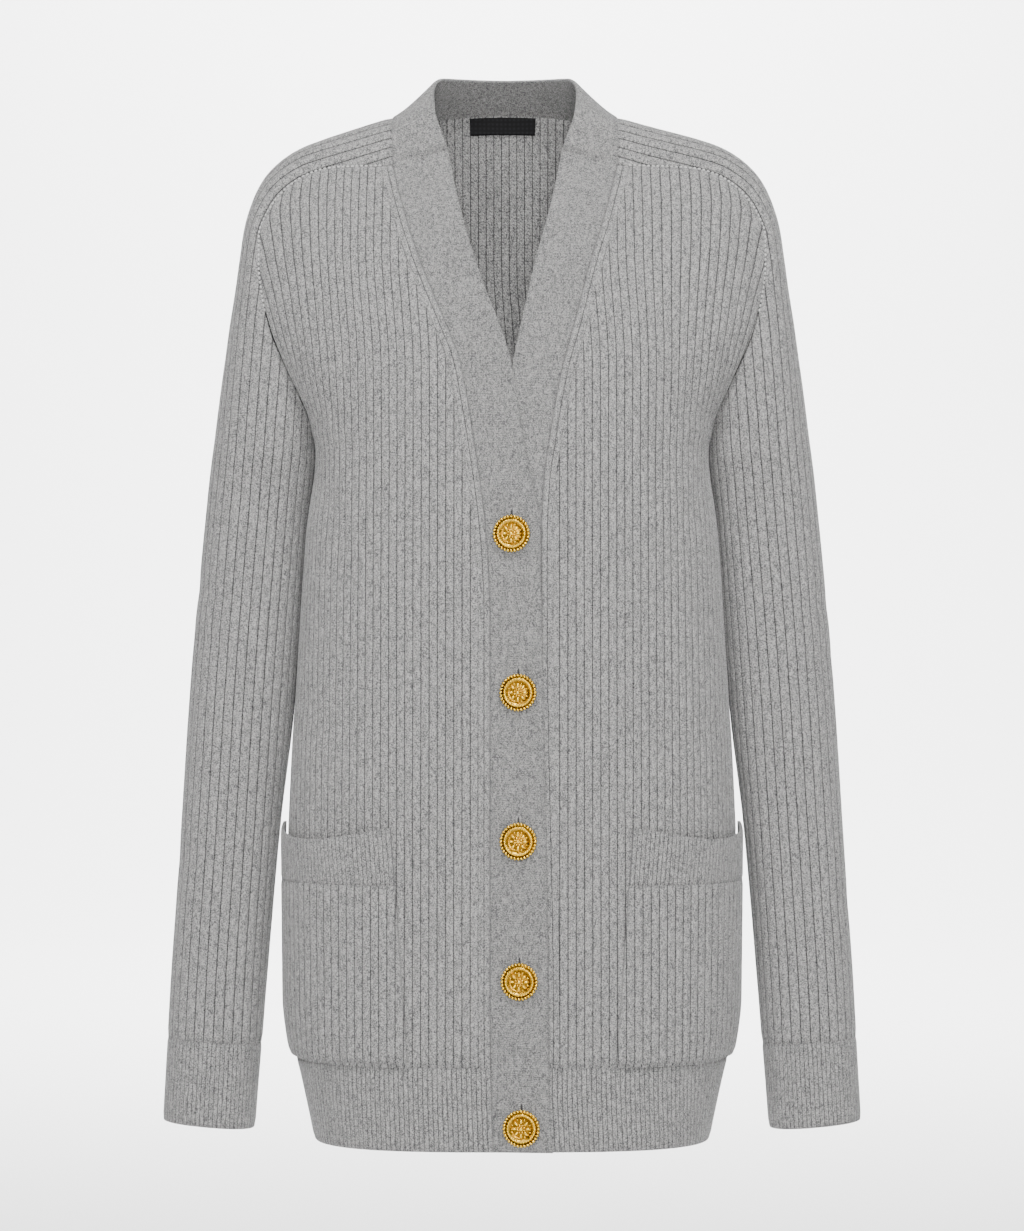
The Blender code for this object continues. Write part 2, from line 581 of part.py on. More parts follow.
def button(number, height, x):
    """A turned button that stands just off the wearer's right band, facing out of the cloth."""
    def band_face(at_x, at_z):
        right_seam = read(FRONT_TABLE, "right_seam", at_z)
        left_seam = read(FRONT_TABLE, "left_seam", at_z)
        over = smoothstep(0.0, 1.0, (at_x - right_seam) / (left_seam - right_seam))
        return float(trunk_y(at_x, at_z, FRONT) - LAP * over)

    reach = BUTTON_ACROSS / 3
    slope_x = (band_face(x + reach, height) - band_face(x - reach, height)) / (2 * reach)
    slope_z = (band_face(x, height + reach) - band_face(x, height - reach)) / (2 * reach)
    out = Vector((slope_x, -1.0, slope_z)).normalized()
    seat = Vector((x, band_face(x, height), height)) + out * BUTTON_OFF_CLOTH
    disc = bmesh.new()
    spine = [disc.verts.new((across, 0.0, up)) for across, up in BUTTON_PROFILE]
    edges = [disc.edges.new(pair) for pair in zip(spine, spine[1:])]
    bmesh.ops.spin(disc, geom=spine + edges, cent=(0, 0, 0), axis=(0, 0, 1), dvec=(0, 0, 0),
                   angle=math.tau, steps=BUTTON_SIDES, use_merge=True, use_duplicate=False)
    bmesh.ops.remove_doubles(disc, verts=disc.verts[:], dist=0.01)
    bmesh.ops.recalc_face_normals(disc, faces=disc.faces[:])
    turn = out.to_track_quat("Z", "Y").to_matrix().to_4x4()
    bmesh.ops.transform(disc, matrix=Matrix.Scale(MM, 4) @ Matrix.Translation(seat) @ turn,
                        verts=disc.verts[:])
    return finish(f"button_{number}", disc, BRASS, metallic=1.0, roughness=0.3)


def main():
    panels = []
    for side, hand in ((RIGHT, "right"), (LEFT, "left")):
        mirror = np.array([side, 1.0, 1.0])
        front, below = front_panel(side), hem(side)
        arm = np.array([ring(station) for station in sleeve_rows()])
        cuff = np.array([ring(station)
                         for station in np.linspace(CUFF_STATION, WRIST_STATION, CUFF_ROWS + 1)])
        band = front_band(side, front, below)
        panels += [
            Panel("front_" + hand, settle(front * mirror), side),
            Panel("hem_front_" + hand, settle(below * mirror), side),
            Panel("band_" + hand, settle(band * mirror), -side),
            Panel("sleeve_" + hand, settle(arm * mirror), -side,
                  shut_from=SADDLE_ROWS + CAP_ROWS + 1),
            Panel("cuff_" + hand, settle(cuff * mirror), -side, shut_from=0),
        ]
    panels += [
        Panel("back", settle(whole(half_back())), -1),
        Panel("hem_back", settle(hem(0)), -1),
        Panel("neckband_back", settle(neckband()), -1),
    ]
    share_seams(panels)
    back = next(panel for panel in panels if panel.name == "back")
    face, away = label(back.points, back.out)
    for panel in panels:
        panel.cut_back()
        sew(panel)
    sew(Panel("label", face, 1, wall=LABEL_THICK, out=away), BLACK_TAPE, roughness=0.6)
    for side, hand in ((RIGHT, "right"), (LEFT, "left")):
        mirror = np.array([side, 1.0, 1.0])
        points, out, seam = pocket(front_panel(side))
        points, out = points * mirror, out * mirror
        patches = [
            Panel("pocket_" + hand, points[:seam], side, POCKET_WALL, out[:seam]),
            Panel("pocket_band_" + hand, points[seam - 1:], side, POCKET_WALL, out[seam - 1:]),
        ]
        for panel in patches:
            panel.cut_back()
            sew(panel)
    for number, (height, x) in enumerate(BUTTONS, 1):
        button(number, height, x)


for old in list(bpy.data.objects):
    bpy.data.objects.remove(old, do_unlink=True)
GARMENT = bpy.data.collections.new("button_cardigan")
bpy.context.scene.collection.children.link(GARMENT)
main()
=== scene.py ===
"""The looks of a button cardigan in rib knit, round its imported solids.

Millimetres in the tables, metres in the model.  +X is the wearer's left, -Y is the front, +Z is
up, and the origin lies midway between the shoulders.  The forms are worked out as the solids
are, at finer steps, so that the ribs can be raised on them.
"""

import math

import bmesh
import bpy
import numpy as np
from mathutils import Matrix, Vector


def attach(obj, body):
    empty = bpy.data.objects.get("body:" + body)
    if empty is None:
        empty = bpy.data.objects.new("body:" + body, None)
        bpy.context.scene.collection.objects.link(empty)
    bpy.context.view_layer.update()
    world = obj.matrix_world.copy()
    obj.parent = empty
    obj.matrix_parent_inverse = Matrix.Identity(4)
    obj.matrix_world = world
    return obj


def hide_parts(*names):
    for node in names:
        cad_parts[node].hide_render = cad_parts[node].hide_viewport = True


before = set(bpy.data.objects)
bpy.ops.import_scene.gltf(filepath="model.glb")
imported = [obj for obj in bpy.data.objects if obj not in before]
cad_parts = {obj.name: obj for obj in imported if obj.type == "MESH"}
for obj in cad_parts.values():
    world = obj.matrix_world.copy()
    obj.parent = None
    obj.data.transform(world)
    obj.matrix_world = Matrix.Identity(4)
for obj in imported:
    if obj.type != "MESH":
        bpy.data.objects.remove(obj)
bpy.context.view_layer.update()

MM = 0.001

# Cloth and sewing.
WALL = 2.4
LAP = 3.0
LAP_STARTS, LAP_FULL = -110.0, -172.0
NECK_SHIFT = -5.0
NECK_SHIFT_LEVELS = (-185.0, -95.0)
NECK_SHIFT_REACH = (85.0, 150.0)
HEM_BOTTOM = -730.0
HEM_SEAM = -672.0
ARMPIT = -240.0

# How many fine steps each panel has, across it and up it.  A curve is first worked out in
# CURVE_STEPS or RING_CURVE_STEPS, and then cut into even ones.
CURVE_STEPS, RING_CURVE_STEPS = 160, 120
FRONT_COLUMNS_FINE = 252
BACK_NECK_STEPS, BACK_SADDLE_STEPS = 38, 152
BACK_COLUMNS_FINE = BACK_NECK_STEPS + BACK_SADDLE_STEPS
BODY_ROWS, CAP_ROWS, HEM_ROWS = 72, 44, 12
SADDLE_STEPS, SLEEVE_CAP_ROWS, ARM_ROWS, CUFF_ROWS = 34, 42, 74, 12
RING_STEPS = 116
BAND_COLUMNS, BAND_RING_STEPS = 22, 24
NECK_STEPS = 40
POCKET_COLUMNS, POCKET_ROWS, MOUTH_ROWS = 168, 30, 12
LABEL_STEPS, LABEL_ROWS = 40, 10

# The body's level sections.  Above the armpit the half width runs on into the shoulder.
TRUNK_COLUMNS = ("height", "half_width", "front", "back", "front_square", "back_square")
TRUNK = (
    (-730.0, 141.5, 97.0, 90.0, 3.1, 3.0),
    (-706.0, 146.5, 97.0, 92.0, 3.1, 3.0),
    (-680.0, 152.5, 96.0, 93.0, 3.0, 2.9),
    (-660.0, 158.0, 95.5, 93.0, 3.0, 2.9),
    (-630.0, 161.0, 95.0, 92.0, 3.0, 2.8),
    (-527.0, 160.5, 91.0, 88.0, 2.9, 2.7),
    (-469.0, 158.4, 88.5, 86.0, 2.9, 2.6),
    (-380.0, 153.0, 86.0, 87.0, 2.8, 2.5),
    (-300.0, 147.6, 85.0, 91.0, 2.8, 2.5),
    (-240.0, 141.0, 83.0, 94.0, 2.8, 2.5),
    (-218.0, 146.0, 81.5, 95.0, 2.8, 2.4),
    (-172.0, 170.0, 76.0, 95.5, 2.8, 2.1),
    (-131.0, 187.0, 67.0, 93.5, 2.8, 1.95),
    (-103.0, 194.0, 60.0, 90.5, 2.8, 1.85),
    (-73.0, 194.0, 49.0, 86.0, 2.8, 1.75),
    (-37.0, 190.0, 28.5, 78.0, 2.7, 1.6),
    (-10.0, 186.0, 19.0, 71.0, 2.6, 1.5),
    (12.0, 182.0, 12.0, 66.0, 2.6, 1.5),
)

# The sleeve with its saddle, from the neck along the shoulder and down to the wrist.  Each
# station is a ring seen from the front: its front and back seams and its outer line, how far it
# stands before and behind its middle, how far back that middle lies, and how far the ring has
# closed (0 open at its widest, -1 a whole ring).
SLEEVE_COLUMNS = ("station", "front_x", "front_z", "outer_x", "outer_z", "back_x", "back_z",
                  "fore", "aft", "set_back", "closed")
SLEEVE = (
    (0, 80.0, -37.0, 81.5, 0.0, 78.0, -8.0, 26.0, 30.0, 0.0, 0.0),
    (1, 106.0, -37.5, 108.5, -8.0, 105.0, -17.0, 25.0, 32.0, 0.0, 0.0),
    (2, 131.5, -39.0, 133.6, -15.5, 131.0, -28.0, 24.5, 34.0, 0.0, 0.0),
    (3, 147.0, -44.0, 151.0, -22.0, 147.0, -37.0, 25.5, 35.5, 0.0, 0.0),
    (4, 159.0, -52.0, 166.0, -31.5, 159.0, -47.0, 27.0, 37.0, 0.0, 0.0),
    (5, 168.0, -61.5, 178.2, -44.5, 168.0, -58.5, 29.0, 38.5, 0.0, 0.0),
    (6, 175.0, -73.0, 186.5, -61.0, 175.0, -72.0, 31.0, 39.5, 0.0, 0.0),
    (7, 180.0, -88.0, 192.3, -81.0, 180.0, -88.0, 33.0, 40.5, 0.0, -0.02),
    (8, 180.0, -108.0, 195.6, -103.0, 180.0, -108.0, 34.5, 41.0, 0.0, -0.06),
    (9, 177.5, -131.0, 199.0, -127.0, 177.5, -131.0, 35.5, 41.0, 0.0, -0.14),
    (10, 171.5, -156.0, 203.0, -152.0, 171.5, -156.0, 36.0, 40.0, 0.0, -0.30),
    (11, 163.0, -177.0, 206.0, -174.0, 163.0, -177.0, 36.0, 39.0, 0.0, -0.50),
    (12, 152.8, -199.0, 209.0, -195.0, 152.8, -199.0, 35.5, 38.0, 0.0, -0.74),
    (13, 144.6, -220.0, 211.6, -215.0, 144.6, -220.0, 35.0, 37.0, 0.0, -0.93),
    (14, 141.6, -240.5, 214.0, -234.0, 141.6, -240.5, 34.0, 36.0, 0.0, -1.0),
    (15, 144.6, -262.0, 217.3, -256.0, 144.6, -262.0, 33.0, 35.0, 4.0, -1.0),
    (16, 148.4, -300.0, 221.6, -294.0, 148.4, -300.0, 32.0, 34.0, 8.0, -1.0),
    (17, 151.3, -340.0, 225.6, -334.0, 151.3, -340.0, 31.5, 33.0, 9.0, -1.0),
    (18, 153.9, -380.0, 229.4, -374.0, 153.9, -380.0, 31.0, 32.0, 9.0, -1.0),
    (19, 159.0, -440.0, 233.8, -435.0, 159.0, -440.0, 30.5, 31.5, 7.0, -1.0),
    (20, 166.4, -500.0, 237.3, -495.0, 166.4, -500.0, 30.0, 31.0, 4.0, -1.0),
    (21, 171.8, -560.0, 240.8, -555.0, 171.8, -560.0, 30.0, 30.5, 0.0, -1.0),
    (22, 176.4, -620.0, 244.6, -615.0, 176.4, -620.0, 29.5, 30.0, -5.0, -1.0),
    (23, 179.8, -664.0, 246.8, -659.0, 179.8, -664.0, 29.0, 29.5, -8.0, -1.0),
    (24, 184.3, -724.0, 249.8, -718.0, 184.3, -724.0, 28.5, 29.0, -12.0, -1.0),
)
RING_SQUARE = 2.35
SADDLE_END, ARMPIT_STATION, CUFF_STATION, WRIST_STATION = 6.0, 14.0, 23.0, 24.0

# The front edges, seam and free edge of each band, as x at a height.  The wearer's right band
# laps over the left.
FRONT_COLUMNS = ("height", "right_seam", "right_edge", "left_seam", "left_edge")
FRONT_EDGES = (
    (-730.0, -13.0, 28.5, 26.5, -11.5),
    (-684.0, -14.5, 25.5, 24.6, -12.8),
    (-625.0, -15.1, 25.2, 24.4, -13.6),
    (-356.0, -15.2, 20.6, 20.2, -14.3),
    (-316.0, -16.7, 19.8, 20.2, -14.6),
    (-290.0, -19.0, 18.8, 20.6, -15.0),
    (-264.0, -22.3, 13.5, 22.0, -12.5),
    (-240.0, -25.8, 8.4, 25.4, -8.4),
    (-208.0, -31.0, 3.8, 30.5, -3.8),
    (-180.0, -36.3, -0.7, 36.3, 0.7),
    (-152.0, -45.5, -8.0, 45.5, 8.0),
    (-128.0, -53.5, -15.3, 53.5, 15.3),
    (-103.0, -61.7, -22.3, 61.7, 22.3),
    (-80.0, -69.0, -29.3, 69.0, 29.3),
    (-58.0, -75.0, -36.0, 75.0, 36.0),
    (-37.0, -80.0, -41.0, 80.0, 41.0),
)
# Beside the neck a band's free edge stands higher than its seam.
EDGE_LIFT_STARTS, EDGE_LIFT_FULL, EDGE_LIFT = -90.0, -37.0, 13.0

# The free edge of the neckband, by its share of the way from the front of the saddle over the
# shoulder and round to the middle of the back.
NECK_EDGE_COLUMNS = ("share", "edge_x", "edge_y", "edge_z")
NECK_EDGE = (
    (0.0, 41.0, -28.0, -24.0),
    (0.5, 50.0, -19.0, 3.0),
    (1.0, 52.0, -2.0, 21.0),
    (1.5, 50.5, 11.0, 29.0),
    (2.0, 45.5, 21.5, 32.5),
    (2.5, 25.0, 37.5, 34.0),
    (3.0, 0.0, 42.0, 34.0),
)
BACK_NECK_DEPTH, BACK_NECK_RISE = 36.0, 20.0

# Pockets, buttons and label.
POCKET_WALL = 2.2
POCKET_GAP = 0.8
POCKET_GAPE = 3.6
GAPE_RISE, GAPE_FALL = 1.5, 0.8
GAPE_FROM, GAPE_SPAN = 0.08, 0.80
POCKET_BOTTOM = -669.0
POCKET_SEAM = -546.0
POCKET_INNER = (72.5, 84.0)
POCKET_MOUTH, MOUTH_SAG, SAG_SHAPE = -506.0, 9.0, 1.3
BUTTONS = ((-301.0, -0.2), (-411.5, 4.4), (-514.8, 4.5), (-611.6, 5.2), (-712.8, 6.6))
BUTTON_ACROSS = 25.6
BUTTON_OFF_CLOTH = 0.8
LABEL_WIDTH, LABEL_TALL, LABEL_THICK = 50.0, 12.5, 0.6
LABEL_MIDDLE = -2.0
LABEL_BELOW_SEAM = 1.6
LABEL_GAP = 0.6

RIGHT, LEFT = -1.0, 1.0
HAND = {RIGHT: "right", LEFT: "left"}
FRONT, BACK = -1.0, 1.0
FACE_NAME = {FRONT: "front", BACK: "back"}


def columns(names, rows):
    """A table as one array for each named column."""
    return dict(zip(names, np.array(rows, float).T))


TRUNK_TABLE = columns(TRUNK_COLUMNS, TRUNK)
SLEEVE_TABLE = columns(SLEEVE_COLUMNS, SLEEVE)
FRONT_TABLE = columns(FRONT_COLUMNS, FRONT_EDGES)
NECK_TABLE = columns(NECK_EDGE_COLUMNS, NECK_EDGE)


def read(table, name, at):
    """A column of a table read at any place, on a smooth curve that never overshoots a row."""
    known, values = next(iter(table.values())), table[name]
    step, rise = np.diff(known), np.diff(values)
    slope = rise / step
    inner = np.where(slope[:-1] * slope[1:] > 0,
                     2 * slope[:-1] * slope[1:] / (slope[:-1] + slope[1:] + 1e-12), 0.0)
    tangent = np.concatenate(([slope[0]], inner, [slope[-1]]))
    at = np.clip(np.asarray(at, float), known[0], known[-1])
    cell = np.clip(np.searchsorted(known, at) - 1, 0, len(step) - 1)
    t = (at - known[cell]) / step[cell]
    h = step[cell]
    return (values[cell] * (1 + 2 * t) * (1 - t) ** 2 + tangent[cell] * h * t * (1 - t) ** 2
            + values[cell + 1] * t * t * (3 - 2 * t) - tangent[cell + 1] * h * t * t * (1 - t))


def smoothstep(start, end, at):
    t = np.clip((np.asarray(at, float) - start) / (end - start), 0.0, 1.0)
    return t * t * (3 - 2 * t)


def trunk_y(x, z, face):
    """Where the body's surface lies, before or behind, at a place seen from the front."""
    name = FACE_NAME[face]
    depth = read(TRUNK_TABLE, name, z)
    square = read(TRUNK_TABLE, name + "_square", z)
    share = np.clip(np.abs(x) / read(TRUNK_TABLE, "half_width", z), 0.0, 1.0)
    return face * depth * (1 - share ** square) ** (1 / square)


def even_steps(points, count):
    """The same line in so many equal steps."""
    run = np.concatenate(([0.0], np.cumsum(np.linalg.norm(np.diff(points, axis=0), axis=1))))
    stops = np.linspace(0.0, run[-1], count + 1)
    return np.stack([np.interp(stops, run, points[:, axis]) for axis in range(3)], axis=1)


def section(z, inner_x, count, face):
    """Half a level section, from a place near the middle round to the side seam."""
    name = FACE_NAME[face]
    width, depth, square = (float(read(TRUNK_TABLE, column, z))
                            for column in ("half_width", name, name + "_square"))
    turn = np.linspace(math.asin((inner_x / width) ** (square / 2)), math.pi / 2, CURVE_STEPS)
    x = width * np.sin(turn) ** (2 / square)
    y = face * depth * np.abs(np.cos(turn)) ** (2 / square)
    return even_steps(np.stack([x, y, np.full_like(x, z)], axis=1), count)


def half_ring(station, face, count):
    """Half a ring of the sleeve, from its seam to its outer line."""
    now = {column: float(read(SLEEVE_TABLE, column, station)) for column in SLEEVE_COLUMNS[1:]}
    name = FACE_NAME[face]
    seam = np.array([now[name + "_x"], now[name + "_z"]])
    outer = np.array([now["outer_x"], now["outer_z"]])
    closed = now["closed"]
    reach = np.linalg.norm(outer - seam) / (1 - closed)
    along = (outer - seam) / np.linalg.norm(outer - seam)
    start = -math.asin(min(1.0, abs(closed) ** (RING_SQUARE / 2)))
    turn = np.linspace(start, math.pi / 2, RING_CURVE_STEPS)
    out = reach * np.sign(turn) * np.abs(np.sin(turn)) ** (2 / RING_SQUARE)
    depth = now["fore"] if face == FRONT else now["aft"]
    y = now["set_back"] + face * depth * np.abs(np.cos(turn)) ** (2 / RING_SQUARE)
    middle = outer - reach * along
    return even_steps(np.stack([middle[0] + out * along[0], y, middle[1] + out * along[1]],
                               axis=1), count)


def ring(station):
    """A whole row of the sleeve: front seam, round the outside, back seam."""
    front = half_ring(station, FRONT, RING_STEPS)
    back = half_ring(station, BACK, RING_STEPS)
    return np.concatenate([front, back[-2::-1]])


def seam_line(stations, face):
    """The armhole or saddle seam at these stations."""
    return np.array([half_ring(station, face, 1)[0] for station in stations])


def patch(bottom, top, inner, outer, face):
    """Fill the upper part of a panel between its four edges, on the body's surface.

    Every edge is a line of points.  The places are blended as seen from the front, and the depth
    is the body's own, drawn to the top and outer edges as it nears them.
    """
    rows, count = len(inner), len(bottom)
    v = np.linspace(0.0, 1.0, rows)[:, None, None]
    s = np.linspace(0.0, 1.0, count)[None, :, None]
    flat = ((1 - v) * bottom[None] + v * top[None] + (1 - s) * inner[:, None] + s * outer[:, None]
            - (1 - v) * (1 - s) * bottom[0] - (1 - v) * s * bottom[-1]
            - v * (1 - s) * top[0] - v * s * top[-1])
    x, z = flat[..., 0], flat[..., 2]
    y = trunk_y(x, z, face)
    top_miss = top[:, 1] - trunk_y(top[:, 0], top[:, 2], face)
    outer_miss = outer[:, 1] - trunk_y(outer[:, 0], outer[:, 2], face)
    up = v[..., 0] ** 3
    across = s[..., 0] ** 4
    y = y + up * top_miss[None] + across * outer_miss[:, None] - up * across * outer_miss[-1]
    points = np.stack([x, y, z], axis=2)
    points[0] = bottom
    return points


def front_panel(side):
    """One front, hem seam to saddle, as rows of points from band seam to side seam."""
    name = HAND[side] + "_seam"
    levels = np.linspace(HEM_SEAM, ARMPIT, BODY_ROWS + 1)
    lower = [section(z, abs(float(read(FRONT_TABLE, name, z))), FRONT_COLUMNS_FINE, FRONT)
             for z in levels]
    top = seam_line(np.linspace(0.0, SADDLE_END, FRONT_COLUMNS_FINE + 1), FRONT)
    outer = seam_line(np.linspace(ARMPIT_STATION, SADDLE_END, CAP_ROWS + 1), FRONT)
    z = np.linspace(ARMPIT, top[0, 2], CAP_ROWS + 1)
    x = np.abs(read(FRONT_TABLE, name, z))
    inner = np.stack([x, trunk_y(x, z, FRONT), z], axis=1)
    upper = patch(lower[-1], top, inner, outer, FRONT)
    return np.concatenate([np.array(lower[:-1]), upper])


def back_neck(share):
    """The back neck seam, from its middle (0) to the back corner of the saddle (1)."""
    corner = seam_line([0.0], BACK)[0]
    turn = np.asarray(share)[:, None] * math.pi / 2
    rise = np.array([0.0, BACK_NECK_DEPTH, BACK_NECK_RISE])
    return corner * np.array([0.0, 1.0, 1.0]) + np.sin(turn) * corner * [1, 0, 0] \
        + np.cos(turn) * rise


def half_back():
    """Half the back, as rows of points from the middle to the side seam."""
    levels = np.linspace(HEM_SEAM, ARMPIT, BODY_ROWS + 1)
    lower = [section(z, 0.0, BACK_COLUMNS_FINE, BACK) for z in levels]
    neck = back_neck(np.linspace(0.0, 1.0, BACK_NECK_STEPS + 1))
    shoulder = seam_line(np.linspace(0.0, SADDLE_END, BACK_SADDLE_STEPS + 1), BACK)
    top = np.concatenate([neck[:-1], shoulder])
    outer = seam_line(np.linspace(ARMPIT_STATION, SADDLE_END, CAP_ROWS + 1), BACK)
    z = np.linspace(ARMPIT, top[0, 2], CAP_ROWS + 1)
    inner = np.stack([0 * z, trunk_y(0 * z, z, BACK), z], axis=1)
    upper = patch(lower[-1], top, inner, outer, BACK)
    return np.concatenate([np.array(lower[:-1]), upper])


def whole(half):
    """A panel that is the same both sides of the middle, from the wearer's right to left."""
    return np.concatenate([half[:, :0:-1] * [RIGHT, 1, 1], half], axis=1)


def hem(side):
    """The hem band below one front, or below the back when side is 0."""
    levels = np.linspace(HEM_BOTTOM, HEM_SEAM, HEM_ROWS + 1)
    if side:
        inner = [abs(float(read(FRONT_TABLE, HAND[side] + "_seam", z))) for z in levels]
        return np.array([section(z, x, 2 * FRONT_COLUMNS_FINE, FRONT)
                         for z, x in zip(levels, inner)])
    return whole(np.array([section(z, 0.0, 2 * BACK_COLUMNS_FINE, BACK) for z in levels]))


def overlap(x, z):
    """How far across the buttoned bands a place lies, from the right seam (0) to the left (1)."""
    right_seam = read(FRONT_TABLE, "right_seam", z)
    left_seam = read(FRONT_TABLE, "left_seam", z)
    return smoothstep(0.0, 1.0, (x - right_seam) / (left_seam - right_seam))


def front_band(side, panel, hem_panel):
    """A front band, hem to shoulder, as rows of points from its seam to its free edge."""
    seam = np.concatenate([hem_panel[:-1, 0], panel[:, 0]])
    height = seam[:, 2]
    edge_x = side * read(FRONT_TABLE, HAND[side] + "_edge", height)
    edge_z = height + EDGE_LIFT * smoothstep(EDGE_LIFT_STARTS, EDGE_LIFT_FULL, height)
    edge = np.stack([edge_x, trunk_y(edge_x, edge_z, FRONT), edge_z], axis=1)
    saddle_seam = half_ring(0.0, FRONT, BAND_RING_STEPS)[1:]
    share = np.linspace(0.0, 1.0, BAND_RING_STEPS + 1)[1:]
    seam = np.concatenate([seam, saddle_seam])
    edge = np.concatenate([edge, neck_edge(share)])
    w = np.linspace(0.0, 1.0, BAND_COLUMNS + 1)[None, :, None]
    points = seam[:, None] * (1 - w) + edge[:, None] * w
    z = points[..., 2]
    over = overlap(side * points[..., 0], z)
    fade = smoothstep(LAP_STARTS, LAP_FULL, z)
    lift = LAP * fade * (over if side == RIGHT else over - 1)
    points[..., 1] -= lift
    return points


def neck_edge(share):
    """The neckband's free edge at these shares of the way round from the front."""
    return np.stack([read(NECK_TABLE, name, share) for name in NECK_EDGE_COLUMNS[1:]], axis=1)


def neckband():
    """The back neckband, saddle top to saddle top, as rows from its seam to its free edge."""
    saddle_seam = half_ring(0.0, BACK, BAND_RING_STEPS)[::-1]
    neck = back_neck(np.linspace(1.0, 0.0, NECK_STEPS + 1))
    seam = np.concatenate([saddle_seam, neck[1:]])
    share = np.concatenate([np.linspace(1.0, 2.0, BAND_RING_STEPS + 1),
                            np.linspace(2.0, 3.0, NECK_STEPS + 1)[1:]])
    edge = neck_edge(share)
    w = np.linspace(0.0, 1.0, BAND_COLUMNS + 1)[None, :, None]
    half = seam[:, None] * (1 - w) + edge[:, None] * w
    return np.concatenate([half, half[-2::-1] * [RIGHT, 1, 1]])


def sleeve_rows():
    """The sleeve's stations: close together over the shoulder, wider apart down the arm."""
    return np.concatenate([np.linspace(0.0, SADDLE_END, SADDLE_STEPS + 1),
                           np.linspace(SADDLE_END, ARMPIT_STATION, SLEEVE_CAP_ROWS + 1)[1:],
                           np.linspace(ARMPIT_STATION, CUFF_STATION, ARM_ROWS + 1)[1:]])


def on_grid(grid, row, column):
    """A place on a panel's own flat facets, by its row and column number."""
    row = np.clip(row, 0.0, grid.shape[0] - 1.0)
    column = np.clip(column, 0.0, grid.shape[1] - 1.0)
    j = np.minimum(row.astype(int), grid.shape[0] - 2)
    i = np.minimum(column.astype(int), grid.shape[1] - 2)
    v, s = (row - j)[..., None], (column - i)[..., None]
    return ((1 - v) * ((1 - s) * grid[j, i] + s * grid[j, i + 1])
            + v * ((1 - s) * grid[j + 1, i] + s * grid[j + 1, i + 1]))


def inner_column(grid, row, x):
    """The column number, whole or part, where a row of a panel is this far from the middle."""
    count = grid.shape[1]
    across = on_grid(grid, np.full(count, row), np.arange(count, dtype=float))[:, 0]
    return np.interp(x, across, np.arange(count))


def outward(points):
    """The way out of the cloth, for a grid whose columns run to the left and rows go up.

    A corner takes it from the next point in, because two edges may meet there in one line.
    """
    normal = np.cross(np.gradient(points, axis=1), np.gradient(points, axis=0))
    for (j, i), inside in (((0, 0), (1, 1)), ((0, -1), (1, -2)),
                           ((-1, 0), (-2, 1)), ((-1, -1), (-2, -2))):
        normal[j, i] = normal[inside]
    return normal / np.maximum(np.linalg.norm(normal, axis=2, keepdims=True), 1e-9)


def settle(points):
    """The neck sits a little to the wearer's right, so everything near it moves with it."""
    moved = points.copy()
    x, z = points[..., 0], points[..., 2]
    moved[..., 0] += NECK_SHIFT * smoothstep(*NECK_SHIFT_LEVELS, z) \
        * (1 - smoothstep(*NECK_SHIFT_REACH, np.abs(x)))
    return moved


# Rib knit.  A rib is a broad raised wale with a narrow groove each side of it.  The inside of the
# cloth shows INSIDE_RIB of its height.
RIB_PITCH = 5.75
SLEEVE_RIB_PITCH = 6.9
EDGE_RIB_WIDTH, EDGE_RIBS = 4.3, 2
HEM_RIB_PITCH, CUFF_RIB_PITCH, POCKET_RIB_PITCH = 3.4, 3.1, 3.1
RIBS_ENDING_ON_ARMHOLE = 4
RIB_HEIGHT, FINE_RIB_HEIGHT = 0.95, 0.5
RIB_ROUND, RIB_LEVEL = 0.55, 0.62
INSIDE_RIB = 0.35
STITCH_TALL = 2.2
BAND_STITCH = 1.25
SEAM_DIP, SEAM_DIP_REACH = 0.55, 1.6

# Creases, seen from the front: a soft trough (or ridge, above zero) from one place to another.
# A row has from_x, from_z, to_x, to_z, width and height.  A crease begins and ends at CREASE_END
# of a half wave, so it isn't quite flat there.  A sleeve's front ones give way to its back ones
# while the way out turns from SIDE_TURN forwards to SIDE_TURN backwards.
CREASE_END, CREASE_SPAN = 0.06, 0.88
SIDE_TURN = 0.3
FRONT_CREASES = (
    (-71.0, -455.0, -86.0, -514.0, 5.0, -2.3),
    (-62.0, -450.0, -76.0, -520.0, 7.0, 1.5),
    (73.0, -468.0, 87.0, -514.0, 5.0, -1.9),
    (66.0, -462.0, 77.0, -520.0, 7.0, 1.2),
    (-139.0, -246.0, -112.0, -334.0, 8.0, -1.7),
    (138.0, -250.0, 117.0, -318.0, 7.0, -1.4),
    (-152.0, -405.0, -122.0, -452.0, 11.0, -1.3),
    (153.0, -420.0, 128.0, -446.0, 9.0, -1.1),
    (-56.0, -215.0, -42.0, -320.0, 17.0, -0.9),
    (60.0, -240.0, 50.0, -352.0, 15.0, -0.8),
    (-120.0, -150.0, -128.0, -214.0, 10.0, -1.0),
    (118.0, -160.0, 127.0, -220.0, 11.0, -0.8),
)
BACK_CREASES = (
    (-134.0, -250.0, -94.0, -335.0, 9.0, -2.1),
    (131.0, -256.0, 99.0, -322.0, 8.0, -1.8),
    (-74.0, -372.0, 52.0, -380.0, 17.0, -1.7),
    (-96.0, -424.0, 78.0, -438.0, 21.0, -1.3),
    (-12.0, -476.0, 98.0, -462.0, 14.0, -1.0),
    (-152.0, -118.0, -102.0, -205.0, 13.0, -1.5),
    (147.0, -124.0, 107.0, -192.0, 12.0, -1.2),
    (-146.0, -560.0, -60.0, -590.0, 18.0, -1.0),
    (140.0, -520.0, 74.0, -556.0, 15.0, -0.9),
)
